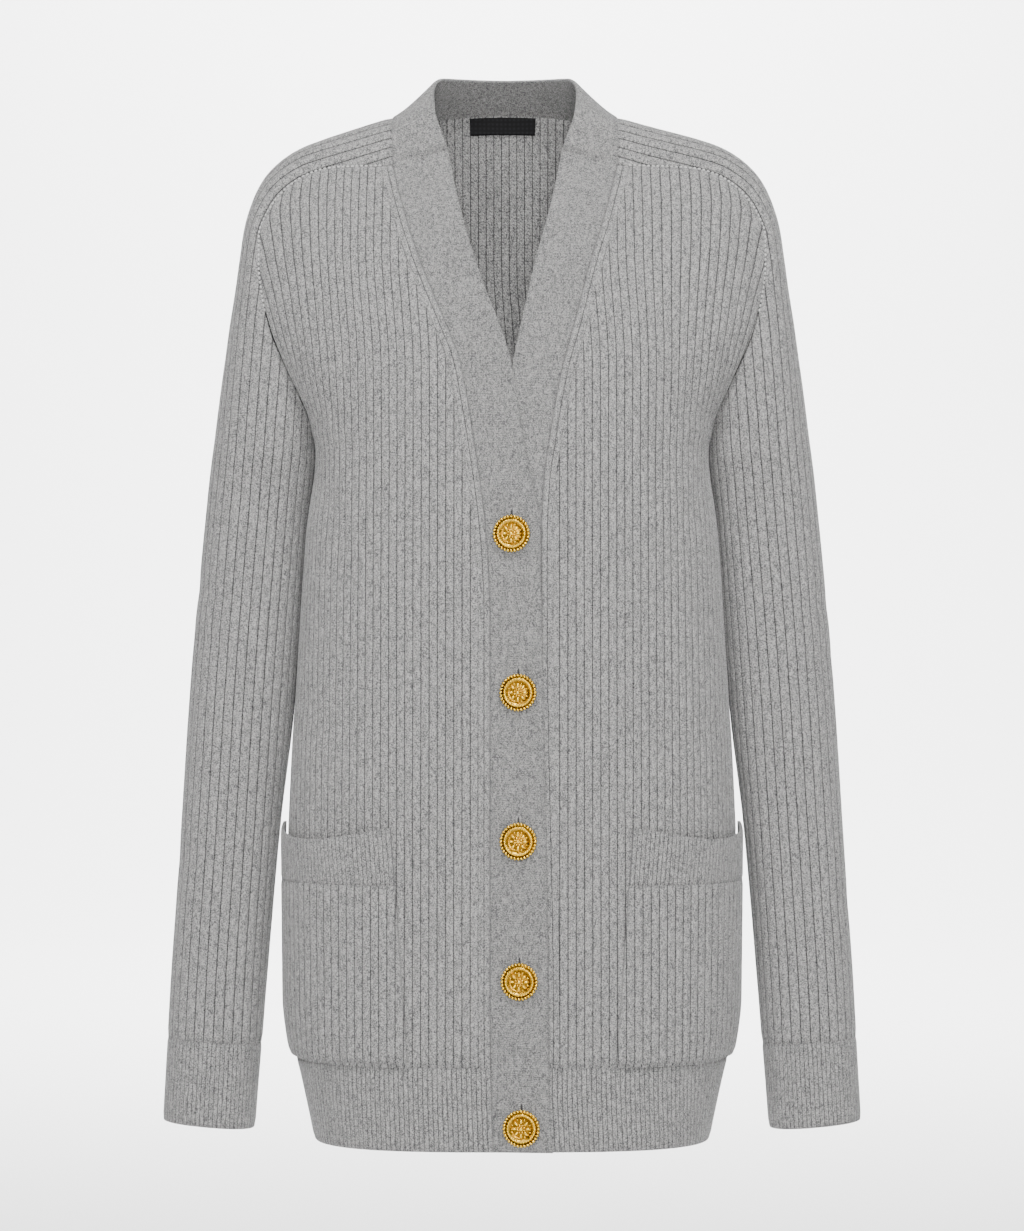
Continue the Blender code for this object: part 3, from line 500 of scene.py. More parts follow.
SLEEVE_FRONT_CREASES = (
    (-206.0, -258.0, -168.0, -302.0, 8.0, -1.5),
    (-232.0, -334.0, -196.0, -352.0, 10.0, -1.1),
    (-228.0, -372.0, -206.0, -384.0, 8.0, -0.8),
    (-243.0, -528.0, -210.0, -540.0, 13.0, -0.8),
    (203.0, -252.0, 170.0, -296.0, 9.0, -1.4),
    (230.0, -346.0, 200.0, -360.0, 9.0, -1.0),
    (232.0, -388.0, 208.0, -396.0, 8.0, -0.8),
    (244.0, -560.0, 212.0, -568.0, 12.0, -0.8),
    (-143.0, -246.0, -146.5, -280.0, 6.0, 1.1),
    (143.0, -246.0, 146.5, -280.0, 6.0, 1.1),
)
SLEEVE_BACK_CREASES = (
    (-200.0, -262.0, -166.0, -296.0, 8.0, -1.6),
    (-226.0, -340.0, -190.0, -362.0, 9.0, -1.9),
    (-230.0, -366.0, -196.0, -392.0, 8.0, -1.5),
    (-226.0, -410.0, -204.0, -420.0, 9.0, -1.1),
    (198.0, -258.0, 168.0, -300.0, 9.0, -1.5),
    (226.0, -350.0, 192.0, -368.0, 10.0, -1.8),
    (230.0, -378.0, 200.0, -398.0, 8.0, -1.3),
    (240.0, -500.0, 206.0, -512.0, 12.0, -0.9),
    (-143.0, -246.0, -146.5, -280.0, 6.0, 1.1),
    (143.0, -246.0, 146.5, -280.0, 6.0, 1.1),
)

# Buttons: a turned blank with two roped rings and an eight-petalled rosette round a boss.  The
# blank's outline is given as radius and height.
BUTTON_STEPS = 56
BLANK_PROFILE = ((0.0, 1.5), (5.6, 1.4), (7.5, 1.2), (8.4, 2.1), (9.2, 2.6), (10.0, 2.2),
                 (10.7, 1.1), (11.6, 1.0), (12.3, 0.8), (12.5, 0.6), (11.8, 0.3), (6.0, 0.0),
                 (0.0, 0.0))
# A row has count, ring_radius, height, half_long, half_wide, half_tall, slant and shift, which is
# 0.5 where the beads stand between the petals.
BEAD_RINGS = (
    (32, 12.0, 1.6, 1.45, 0.98, 1.35, 0.65, 0.0),
    (32, 9.4, 2.3, 1.15, 0.66, 1.15, -0.70, 0.0),
    (8, 4.8, 1.5, 2.30, 1.20, 2.10, 0.0, 0.0),
    (8, 6.5, 1.3, 1.10, 0.75, 1.50, 0.0, 0.5),
    (8, 2.4, 2.2, 1.05, 0.72, 1.40, 0.0, 0.5),
)
BOSS_RADIUS, BOSS_HEIGHT = 1.5, 2.9
# Below the lower height the gilding is painted the brown of shade in its hollows, and above the
# upper height it is painted bright gold as if lit.
PAINTED_SHADE_BELOW, PAINTED_LIGHT_ABOVE = 1.2, 3.2

# Buttonholes and hand stitches.  A stitch's three half sizes are along its seam, across it and out
# of the cloth.  The slits lie HOLE_OUT off the band, and their edging at EDGING_OUT half widths.
HOLE_ABOVE, HOLE_HALF_TALL, HOLE_HALF_WIDE, HOLE_DEEP = 13.0, 4.0, 0.80, 0.30
HOLE_OUT, EDGING_OUT = 0.1, 1.7
HOLE_STITCHES, HOLE_STITCH = 7, (0.55, 0.30, 0.34)
SADDLE_STITCH_FROM, SADDLE_STITCH_TO, SADDLE_STITCH_STEP = 0.25, 9.5, 3.3
SADDLE_STITCH, SADDLE_STITCH_OUT = (1.2, 0.85, 0.8), 0.35

# Points nearer than this become one, where a sleeve closes and where a blank's outline ends.
SLEEVE_WELD, BLANK_WELD = 0.004, 0.01

# A level camera straight ahead with a long lens, and large soft lamps.  A lamp's row has name,
# place, aim, power and size.
CAMERA_PLACE = (0.0, -2.5, -0.358)
LENS, SENSOR = 101.5, 36.0
WORLD_LIGHT = 0.36
LAMPS = (
    ("front", (0.1, -3.3, 0.15), (0.0, 0.0, -0.3), 110.0, 0.8),
    ("above", (0.15, -0.95, 1.3), (0.0, 0.05, -0.12), 30.0, 0.4),
    ("high_left", (-1.2, -1.9, 1.5), (0.0, 0.0, -0.3), 28.0, 0.8),
    ("high_right", (1.8, -2.2, 1.2), (0.0, 0.0, -0.35), 12.0, 1.2),
    ("behind", (0.6, 2.8, 1.2), (0.0, 0.0, -0.35), 18.0, 1.8),
    ("backdrop", (0.0, 3.0, 3.0), (0.0, 6.5, 0.0), 1050.0, 2.0),
)
SWEEP_FLOOR, SWEEP_WALL, SWEEP_BEND = -1.05, 6.5, 1.6
SWEEP_WIDE, SWEEP_NEAR, SWEEP_TALL = 8.0, -9.0, 6.0
SWEEP_STEPS = 16


def level_runs(points):
    """How far each point lies along its row, measured level."""
    step = np.diff(points[..., :2], axis=1)
    run = np.cumsum(np.hypot(step[..., 0], step[..., 1]), axis=1)
    return np.concatenate([np.zeros((len(points), 1)), run], axis=1)


def along_rows(points):
    """How far each point lies along its row, on the cloth."""
    step = np.linalg.norm(np.diff(points, axis=1), axis=2)
    return np.concatenate([np.zeros((len(points), 1)), np.cumsum(step, axis=1)], axis=1)


def climbs(points):
    """How far up the cloth each row lies, the same right across."""
    step = np.linalg.norm(np.diff(points, axis=0), axis=2).mean(axis=1)
    climb = np.concatenate([[0.0], np.cumsum(step)])
    return climb[:, None] + np.zeros(points.shape[:2])


def armhole_fan(points, run, first):
    """Where each point lies across the cloth, with the outer ribs drawn round by the armhole."""
    reach = run[:, -1]
    above = smoothstep(0.0, 1.0, (np.arange(len(points)) - BODY_ROWS) / CAP_ROWS)
    last = first[BODY_ROWS] + reach[BODY_ROWS] - RIBS_ENDING_ON_ARMHOLE * RIB_PITCH * above
    drawn = above * (last - first - reach)
    return first[:, None] + run + drawn[:, None] * (run / reach[:, None]) ** 2


def front_ribs(points):
    """Rib numbers on a front: two ribs follow the band, and the rest stand upright and fan out."""
    run = level_runs(points)
    first = np.abs(points[:, 0, 0])
    across = armhole_fan(points, run, first)
    lean = np.gradient(first, points[:, 0, 2])
    beside_band = run / np.sqrt(1 + lean ** 2)[:, None]
    edge = EDGE_RIB_WIDTH * EDGE_RIBS
    upright = (across - first[0] - edge) / RIB_PITCH
    return np.where(beside_band < edge, beside_band / EDGE_RIB_WIDTH - EDGE_RIBS, upright)


def back_ribs(points):
    """Rib numbers on the back, counted both ways from its middle."""
    middle = points.shape[1] // 2
    half = points[:, middle:]
    run = level_runs(half)
    across = armhole_fan(half, run, np.zeros(len(half))) / RIB_PITCH
    return np.concatenate([-across[:, :0:-1], across], axis=1) + 0.5


def run_ribs(points, pitch):
    """Rib numbers counted from the middle of each row."""
    run = along_rows(points)
    return (run - run[:, points.shape[1] // 2, None]) / pitch + 0.5


def rib_relief(ribs, height):
    """How far the cloth stands above its middle level: rounded ribs with narrow grooves."""
    return height * (np.abs(np.sin(math.pi * ribs)) ** RIB_ROUND - RIB_LEVEL)


def crease_relief(points, creases):
    """Troughs and ridges, deepest at the middle of their length."""
    total = np.zeros(points.shape[:2])
    spot = points[..., [0, 2]]
    for from_x, from_z, to_x, to_z, width, height in creases:
        start, along = np.array([from_x, from_z]), np.array([to_x - from_x, to_z - from_z])
        share = np.clip((spot - start) @ along / along.dot(along), 0.0, 1.0)
        away = np.linalg.norm(spot - start - share[..., None] * along, axis=2)
        swell = np.sin(math.pi * (CREASE_END + CREASE_SPAN * share))
        total += height * swell * np.exp(-(away / width) ** 2)
    return total


def edge_dip(points):
    """The cloth turns down a little at its edges, so a seam shows as a fine valley."""
    run = along_rows(points)
    climb = along_rows(points.swapaxes(0, 1)).T
    near = np.minimum(np.minimum(run, run[:, -1:] - run), np.minimum(climb, climb[-1:] - climb))
    return -SEAM_DIP * (1 - smoothstep(0.0, SEAM_DIP_REACH, near))


def srgb(code):
    """A hex colour as the linear light that shaders work in."""
    parts = [int(code[i:i + 2], 16) / 255 for i in (1, 3, 5)]
    linear = [c / 12.92 if c <= 0.04045 else ((c + 0.055) / 1.055) ** 2.4 for c in parts]
    return (*linear, 1.0)


# The Mix node's sockets by number, because its kinds share their names.
SHARE, NUMBER_A, NUMBER_B, COLOUR_A, COLOUR_B, COLOUR_OUT = 0, 2, 3, 6, 7, 2


def add(tree, kind, settings=None, links=None):
    """A node with its settings and the sockets that feed it."""
    node = tree.nodes.new(kind)
    for key, value in (settings or {}).items():
        if isinstance(key, str) and hasattr(node, key):
            setattr(node, key, value)
        else:
            node.inputs[key].default_value = value
    for key, source in (links or {}).items():
        tree.links.new(source, node.inputs[key])
    return node


def blank_material(name):
    made = bpy.data.materials.new(name)
    made.use_nodes = True
    return made, made.node_tree, made.node_tree.nodes["Principled BSDF"]


def two_tones(tree, first, second, share):
    """A colour that runs from one to the other as the share goes from 0 to 1."""
    return add(tree, "ShaderNodeMix", {"data_type": "RGBA", COLOUR_A: srgb(first),
                                       COLOUR_B: srgb(second)}, {SHARE: share})


def marled_wool(name, groove, pale, dark, groove_shade_tone, stitch_height):
    """Marled wool knit: matt, soft and hairy, pale and dark fibres spun together in each stitch,
    with painted shade darkening the grooves between its ribs.
    """
    made, tree, shader = blank_material(name)
    uv = add(tree, "ShaderNodeUVMap", {"uv_map": "stitches"}).outputs["UV"]
    place = add(tree, "ShaderNodeTexCoord").outputs["Object"]
    split = add(tree, "ShaderNodeSeparateXYZ", links={0: uv})
    turn = add(tree, "ShaderNodeMath", {"operation": "MULTIPLY", 1: math.pi}, {0: split.outputs[0]})
    wave = add(tree, "ShaderNodeMath", {"operation": "SINE"}, {0: turn.outputs[0]})
    swell = add(tree, "ShaderNodeMath", {"operation": "ABSOLUTE"}, {0: wave.outputs[0]})
    rib = add(tree, "ShaderNodeMapRange", {"interpolation_type": "SMOOTHSTEP", "From Max": groove},
              {"Value": swell.outputs[0]})
    halves = add(tree, "ShaderNodeMath", {"operation": "MULTIPLY", 1: 2.0}, {0: split.outputs[0]})
    loop = add(tree, "ShaderNodeMath", {"operation": "PINGPONG", 1: 0.5}, {0: halves.outputs[0]})
    rows = add(tree, "ShaderNodeMath", {"operation": "ADD"},
               {0: split.outputs[1], 1: loop.outputs[0]})
    row_turn = add(tree, "ShaderNodeMath", {"operation": "MULTIPLY", 1: math.tau},
                   {0: rows.outputs[0]})
    stitch = add(tree, "ShaderNodeMath", {"operation": "SINE"}, {0: row_turn.outputs[0]})
    # Fibres about 0.9 mm apart, and spun-in streaks about 2 mm wide and 5 mm long.
    fibres = add(tree, "ShaderNodeTexNoise", {"Scale": 1150.0, "Detail": 2.0, "Roughness": 0.65},
                 {"Vector": place})
    stretch = add(tree, "ShaderNodeMapping", {"Scale": (1.0, 1.0, 0.45)}, {"Vector": place})
    streaks = add(tree, "ShaderNodeTexNoise", {"Scale": 480.0, "Detail": 3.0, "Roughness": 0.6},
                  {"Vector": stretch.outputs[0]})
    marl = add(tree, "ShaderNodeMix", {"data_type": "FLOAT", SHARE: 0.72},
               {NUMBER_A: streaks.outputs["Fac"], NUMBER_B: fibres.outputs["Fac"]})
    tone = add(tree, "ShaderNodeValToRGB", links={0: marl.outputs[0]})
    low, high = tone.color_ramp.elements
    low.position, low.color = 0.40, srgb(dark)
    high.position, high.color = 0.60, srgb(pale)
    # Painted shade: the grooves between the ribs are multiplied down by the groove tone.
    shade = add(tree, "ShaderNodeMix", {"data_type": "RGBA", "blend_type": "MULTIPLY",
                                        SHARE: 1.0, COLOUR_B: srgb(groove_shade_tone)},
                {COLOUR_A: tone.outputs["Color"]})
    colour = add(tree, "ShaderNodeMix", {"data_type": "RGBA"},
                 {SHARE: rib.outputs[0], COLOUR_A: shade.outputs[COLOUR_OUT],
                  COLOUR_B: tone.outputs["Color"]})
    tree.links.new(colour.outputs[COLOUR_OUT], shader.inputs["Base Color"])
    deep = add(tree, "ShaderNodeBump", {"Strength": 0.55, "Distance": 0.0006},
               {"Height": rib.outputs[0]})
    loops = add(tree, "ShaderNodeBump", {"Strength": stitch_height, "Distance": 0.0004},
                {"Height": stitch.outputs[0], "Normal": deep.outputs[0]})
    hairs = add(tree, "ShaderNodeBump", {"Strength": 0.45, "Distance": 0.0005},
                {"Height": fibres.outputs["Fac"], "Normal": loops.outputs[0]})
    tree.links.new(hairs.outputs[0], shader.inputs["Normal"])
    shader.inputs["Roughness"].default_value = 0.92
    shader.inputs["Specular IOR Level"].default_value = 0.25
    shader.inputs["Sheen Weight"].default_value = 0.25
    shader.inputs["Sheen Roughness"].default_value = 0.5
    return made


def gilt_casting():
    """Gilt zinc casting: painted bright warm gold on its raised parts, painted brown shade in its
    hollows.
    """
    made, tree, shader = blank_material("gilt_zinc_casting")
    painted_light_by_height = add(tree, "ShaderNodeAttribute", {"attribute_name": "painted_light_by_height"})
    place = add(tree, "ShaderNodeTexCoord").outputs["Object"]
    # Uneven wear about 1 mm across.
    cloud = add(tree, "ShaderNodeTexNoise", {"Scale": 900.0, "Detail": 3.0}, {"Vector": place})
    # Painted shade and light by height: brown gold stands for shade in the hollows, bright gold for
    # light on the raised parts.
    tone = two_tones(tree, "#7C5812", "#F4CC4C", painted_light_by_height.outputs["Fac"])
    rough = add(tree, "ShaderNodeMapRange", {"To Min": 0.18, "To Max": 0.36},
                {"Value": cloud.outputs["Fac"]})
    dents = add(tree, "ShaderNodeBump", {"Strength": 0.2, "Distance": 0.0002},
                {"Height": cloud.outputs["Fac"]})
    tree.links.new(tone.outputs[COLOUR_OUT], shader.inputs["Base Color"])
    tree.links.new(rough.outputs[0], shader.inputs["Roughness"])
    tree.links.new(dents.outputs[0], shader.inputs["Normal"])
    shader.inputs["Metallic"].default_value = 1.0
    return made


def woven_tape():
    """Black satin-woven label tape: close flat threads with a slight gloss along them."""
    made, tree, shader = blank_material("black_woven_tape")
    place = add(tree, "ShaderNodeTexCoord").outputs["Object"]
    # Its threads are too fine to show, so they are drawn 3 mm apart.
    across = add(tree, "ShaderNodeTexWave", {"bands_direction": "Z", "Scale": 100.0,
                                             "Distortion": 0.4}, {"Vector": place})
    upright = add(tree, "ShaderNodeTexWave", {"bands_direction": "X", "Scale": 100.0,
                                              "Distortion": 0.4}, {"Vector": place})
    weave = add(tree, "ShaderNodeMath", {"operation": "MULTIPLY"},
                {0: across.outputs["Fac"], 1: upright.outputs["Fac"]})
    tone = two_tones(tree, "#060607", "#17171A", weave.outputs[0])
    bump = add(tree, "ShaderNodeBump", {"Strength": 0.4, "Distance": 0.0002},
               {"Height": weave.outputs[0]})
    tree.links.new(tone.outputs[COLOUR_OUT], shader.inputs["Base Color"])
    tree.links.new(bump.outputs[0], shader.inputs["Normal"])
    shader.inputs["Roughness"].default_value = 0.75
    shader.inputs["Specular IOR Level"].default_value = 0.2
    return made


def plied_thread(name, pale, dark):
    """Plied wool sewing thread: small matt twists."""
    made, tree, shader = blank_material(name)
    place = add(tree, "ShaderNodeTexCoord").outputs["Object"]
    # Plies about 0.4 mm apart.
    twist = add(tree, "ShaderNodeTexNoise", {"Scale": 2500.0, "Detail": 2.0}, {"Vector": place})
    tone = two_tones(tree, dark, pale, twist.outputs["Fac"])
    tree.links.new(tone.outputs[COLOUR_OUT], shader.inputs["Base Color"])
    shader.inputs["Roughness"].default_value = 0.9
    return made


def studio_paint():
    """Matt white studio paint, faintly uneven."""
    made, tree, shader = blank_material("matt_studio_paint")
    place = add(tree, "ShaderNodeTexCoord").outputs["Object"]
    # Clouds more than a metre across.
    cloud = add(tree, "ShaderNodeTexNoise", {"Scale": 0.8}, {"Vector": place})
    tone = two_tones(tree, "#F6F6F6", "#FAFAFA", cloud.outputs["Fac"])
    tree.links.new(tone.outputs[COLOUR_OUT], shader.inputs["Base Color"])
    shader.inputs["Roughness"].default_value = 0.95
    return made


# The fourth colour of each knit is painted shade for the grooves between its ribs.
WIDE_RIB = marled_wool("marled_wool_wide_rib", 0.34, "#989795", "#484849", "#68686A", 0.34)
FINE_RIB = marled_wool("marled_wool_fine_rib", 0.45, "#979694", "#484849", "#7E7E80", 0.26)
PLAIN_KNIT = marled_wool("marled_wool_plain_knit", 0.75, "#939290", "#484849", "#DCDCDC", 0.25)
GILT = gilt_casting()
TAPE = woven_tape()
THREAD = plied_thread("plied_wool_thread", "#BDBCBA", "#8E8E8D")
# Painted shade: this dark wool stands in for the shade inside the buttonhole slits.
PAINTED_SLIT_SHADE = plied_thread("shadowed_wool_edge", "#3A3A3B", "#252526")


def stand(name, solid, surface, slot, *nodes):
    """Make a finished piece of a bmesh, in place of these solids."""
    mesh = bpy.data.meshes.new(name)
    solid.to_mesh(mesh)
    solid.free()
    piece = bpy.data.objects.new(name, mesh)
    bpy.context.scene.collection.objects.link(piece)
    mesh.materials.append(surface)
    mesh.shade_smooth()
    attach(piece, "root")
    if nodes:
        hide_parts(*nodes)
    return piece


def lay(points):
    """A sheet of faces on a grid of points; each corner keeps the number of its point."""
    rows, count = points.shape[:2]
    cloth = bmesh.new()
    number = cloth.verts.layers.int.new("number")
    made = bmesh.ops.create_grid(cloth, x_segments=count - 1, y_segments=rows - 1, size=1.0)
    order = sorted(made["verts"], key=lambda vert: (round(vert.co.y, 5), round(vert.co.x, 5)))
    places = (points * MM).reshape(-1, 3).tolist()
    for position, vert in enumerate(order):
        vert[number] = position
        vert.co = places[position]
    return cloth, number


def thicken(cloth, number, points):
    """Give a sheet its wall: a second sheet on these points, joined to the first all round."""
    grown = bmesh.ops.extrude_face_region(cloth, geom=cloth.faces[:], use_keep_orig=True)
    places = (points * MM).reshape(-1, 3).tolist()
    for item in grown["geom"]:
        if isinstance(item, bmesh.types.BMVert):
            item.co = places[item[number]]
    bmesh.ops.recalc_face_normals(cloth, faces=cloth.faces[:])


def knit(node, points, way, ribs, relief, surface, wall=WALL, out=None, shut_from=None):
    """Lay a fine grid on a panel's form, raise its knitting, and give it its wall."""
    if out is None:
        out = outward(points) * way
    if shut_from is not None:
        seam = out[shut_from:, 0] + out[shut_from:, -1]
        out[shut_from:, 0] = out[shut_from:, -1] = seam / np.linalg.norm(seam, axis=1)[:, None]
    outer = points + out * relief[..., None]
    inner = points - out * (wall - INSIDE_RIB * relief)[..., None]
    cloth, number = lay(outer)
    layer = cloth.loops.layers.uv.new("stitches")
    stitches = np.stack([ribs, climbs(points) / STITCH_TALL], axis=2).reshape(-1, 2).tolist()
    for face in cloth.faces:
        for corner in face.loops:
            corner[layer].uv = stitches[corner.vert[number]]
    if way < 0:
        bmesh.ops.reverse_faces(cloth, faces=cloth.faces[:])
    if shut_from is not None:
        bmesh.ops.remove_doubles(cloth, verts=cloth.verts[:], dist=SLEEVE_WELD * MM)
    thicken(cloth, number, inner)
    stand(node + "_knit", cloth, surface, "knit_cloth", node)
    return outer, out


def band_ribs(points):
    """The bands' fine lines run across their width, so their ribs are counted along them."""
    return climbs(points) / BAND_STITCH


def raised(points, ribs, height, creases=()):
    """The whole relief of a rib-knit panel: its ribs, its turned-down edges and its creases."""
    return rib_relief(ribs, height) + edge_dip(points) + crease_relief(points, creases)


def sew_front(side, hand):
    """One front with its hem rib, its band and its pocket."""
    mirror = np.array([side, 1.0, 1.0])
    front, below = front_panel(side), hem(side)
    ribs = front_ribs(front)
    points = settle(front * mirror)
    relief = raised(points, ribs, RIB_HEIGHT, FRONT_CREASES)
    knit("front_" + hand, points, side, ribs, relief, WIDE_RIB)
    fine = level_runs(below) / HEM_RIB_PITCH
    points = settle(below * mirror)
    relief = raised(points, fine, FINE_RIB_HEIGHT)
    knit("hem_front_" + hand, points, side, fine, relief, FINE_RIB)
    points = settle(front_band(side, front, below) * mirror)
    knit("band_" + hand, points, -side, band_ribs(points), edge_dip(points), PLAIN_KNIT)
    sew_pocket(side, hand, front, ribs)


def body_row(height):
    """The row number of a height on the body below the armpit, whole or part."""
    return (height - HEM_SEAM) / (ARMPIT - HEM_SEAM) * BODY_ROWS


def sew_pocket(side, hand, front, ribs):
    """The patch and its ribbed top, moved out from the front's own points."""
    mirror = np.array([side, 1.0, 1.0])
    bottom, seam = body_row(POCKET_BOTTOM), body_row(POCKET_SEAM)
    share = np.linspace(0.0, 1.0, POCKET_COLUMNS + 1)
    mouth = body_row(POCKET_MOUTH - MOUTH_SAG * np.sin(math.pi * share) ** SAG_SHAPE)
    low = np.linspace(bottom, seam, POCKET_ROWS + 1)[:, None] + 0 * share
    high = seam + np.linspace(0.0, 1.0, MOUTH_ROWS + 1)[1:, None] * (mouth - seam)
    rows = np.concatenate([low, high])
    up = np.clip((rows - bottom) / (mouth.max() - bottom), 0.0, 1.0)
    inner = np.interp(up[:, 0], (0.0, 1.0), POCKET_INNER)
    first = np.array([[inner_column(front, row, x)] for row, x in zip(rows[:, 0], inner)])
    column = first + (front.shape[1] - 1 - first) * share
    under = on_grid(front, rows, column)
    out = outward(under)
    bow = np.sin(math.pi * (GAPE_FROM + GAPE_SPAN * share)) ** GAPE_FALL
    away = POCKET_GAP + POCKET_WALL + POCKET_GAPE * up ** GAPE_RISE * bow
    points = (under + out * away[..., None]) * mirror
    out = out * mirror
    wide = on_grid(ribs[..., None], rows, column)[..., 0]
    for name, part, surface, height in (
            ("pocket", slice(0, POCKET_ROWS + 1), WIDE_RIB, RIB_HEIGHT),
            ("pocket_band", slice(POCKET_ROWS, None), FINE_RIB, FINE_RIB_HEIGHT)):
        lying = points[part]
        across = wide[part] if name == "pocket" else level_runs(lying) / POCKET_RIB_PITCH
        knit(name + "_" + hand, lying, side, across, raised(lying, across, height), surface,
             wall=POCKET_WALL, out=out[part])


def sew_sleeve(side, hand):
    """One sleeve with its cuff and the stitches along its saddle."""
    mirror = np.array([side, 1.0, 1.0])
    points = settle(np.array([ring(station) for station in sleeve_rows()]) * mirror)
    ribs = run_ribs(points, SLEEVE_RIB_PITCH)
    out = outward(points) * -side
    facing = smoothstep(-SIDE_TURN, SIDE_TURN, -out[..., 1])
    creases = (crease_relief(points, SLEEVE_FRONT_CREASES) * facing
               + crease_relief(points, SLEEVE_BACK_CREASES) * (1 - facing))
    outer, out = knit("sleeve_" + hand, points, -side, ribs,
                      raised(points, ribs, RIB_HEIGHT) + creases, WIDE_RIB,
                      out=out, shut_from=SADDLE_STEPS + SLEEVE_CAP_ROWS)
    stations = np.linspace(CUFF_STATION, WRIST_STATION, CUFF_ROWS + 1)
    below = settle(np.array([ring(station) for station in stations]) * mirror)
    fine = run_ribs(below, CUFF_RIB_PITCH)
    knit("cuff_" + hand, below, -side, fine, raised(below, fine, FINE_RIB_HEIGHT), FINE_RIB,
         shut_from=0)
    stitch_saddle(hand, outer[:, 0], out[:, 0])


def beads(solid, spots, outs, alongs, size):
    """Small rounded stitches, each lying along its seam."""
    for spot, out, along in zip(spots, outs, alongs):
        frame_of_bead = Matrix((along, np.cross(out, along), out)).transposed().to_4x4()
        place = Matrix.Scale(MM, 4) @ Matrix.Translation(Vector(spot)) @ frame_of_bead
        bmesh.ops.create_icosphere(solid, subdivisions=2, radius=1.0,
                                   matrix=place @ Matrix.Diagonal((*size, 1.0)))


def stitch_saddle(hand, line, out):
    """The row of hand stitches along the front saddle seam and the top of the armhole."""
    stations = sleeve_rows()
    kept = (stations >= SADDLE_STITCH_FROM) & (stations <= SADDLE_STITCH_TO)
    line, out = line[kept], out[kept]
    run = np.concatenate([[0.0], np.cumsum(np.linalg.norm(np.diff(line, axis=0), axis=1))])
    stops = np.arange(0.0, run[-1], SADDLE_STITCH_STEP)
    spots = np.stack([np.interp(stops, run, line[:, axis]) for axis in range(3)], axis=1)
    outs = np.stack([np.interp(stops, run, out[:, axis]) for axis in range(3)], axis=1)
    outs /= np.linalg.norm(outs, axis=1)[:, None]
    alongs = np.gradient(spots, axis=0)
    alongs -= (alongs * outs).sum(axis=1)[:, None] * outs
    alongs /= np.linalg.norm(alongs, axis=1)[:, None]
    solid = bmesh.new()
    beads(solid, spots + outs * SADDLE_STITCH_OUT, outs, alongs, SADDLE_STITCH)
    stitching = stand("saddle_stitching_" + hand, solid, THREAD, "knit_cloth")


def sew_back():
    """The back with its hem rib, its neckband and the label inside it."""
    points = settle(whole(half_back()))
    ribs = back_ribs(points)
    relief = raised(points, ribs, RIB_HEIGHT, BACK_CREASES)
    out = knit("back", points, -1, ribs, relief, WIDE_RIB)[1]
    below = settle(hem(0))
    fine = run_ribs(below, HEM_RIB_PITCH)
    knit("hem_back", below, -1, fine, raised(below, fine, FINE_RIB_HEIGHT), FINE_RIB)
    collar = settle(neckband())
    knit("neckband_back", collar, -1, band_ribs(collar), edge_dip(collar), PLAIN_KNIT)
    sew_label(points, out)


def sew_label(back, out):
    """The label, laid on the inside of the back just under the neck seam, its face bare."""
    middle = BACK_COLUMNS_FINE
    inner = back - out * WALL
    near = inner[-1, middle + 1, 0] - inner[-1, middle, 0]
    drop = inner[-1, middle, 2] - inner[-2, middle, 2]
    x = np.linspace(-LABEL_WIDTH / 2, LABEL_WIDTH / 2, LABEL_STEPS + 1) + LABEL_MIDDLE
    down = LABEL_BELOW_SEAM + np.linspace(LABEL_TALL, 0.0, LABEL_ROWS + 1)
    row, column = np.meshgrid(back.shape[0] - 1.0 - down / drop, middle + x / near, indexing="ij")
    away = on_grid(out, row, column)
    face = on_grid(inner, row, column) - away * (LABEL_GAP + LABEL_THICK)
    tape, number = lay(face)
    thicken(tape, number, face + away * LABEL_THICK)
    label = stand("label_tape", tape, TAPE, "label_tape", "label")


def band_face(x, z):
    """How far forward the right band's face lies, lap and all."""
    return float(trunk_y(x, z, FRONT) - LAP * overlap(x, z))


def seat(x, z):
    """A place on the right band and the way out there."""
    reach = BUTTON_ACROSS / 3
    slope_x = (band_face(x + reach, z) - band_face(x - reach, z)) / (2 * reach)
    slope_z = (band_face(x, z + reach) - band_face(x, z - reach)) / (2 * reach)
    out = Vector((slope_x, -1.0, slope_z)).normalized()
    return Vector((x, band_face(x, z), z)), out


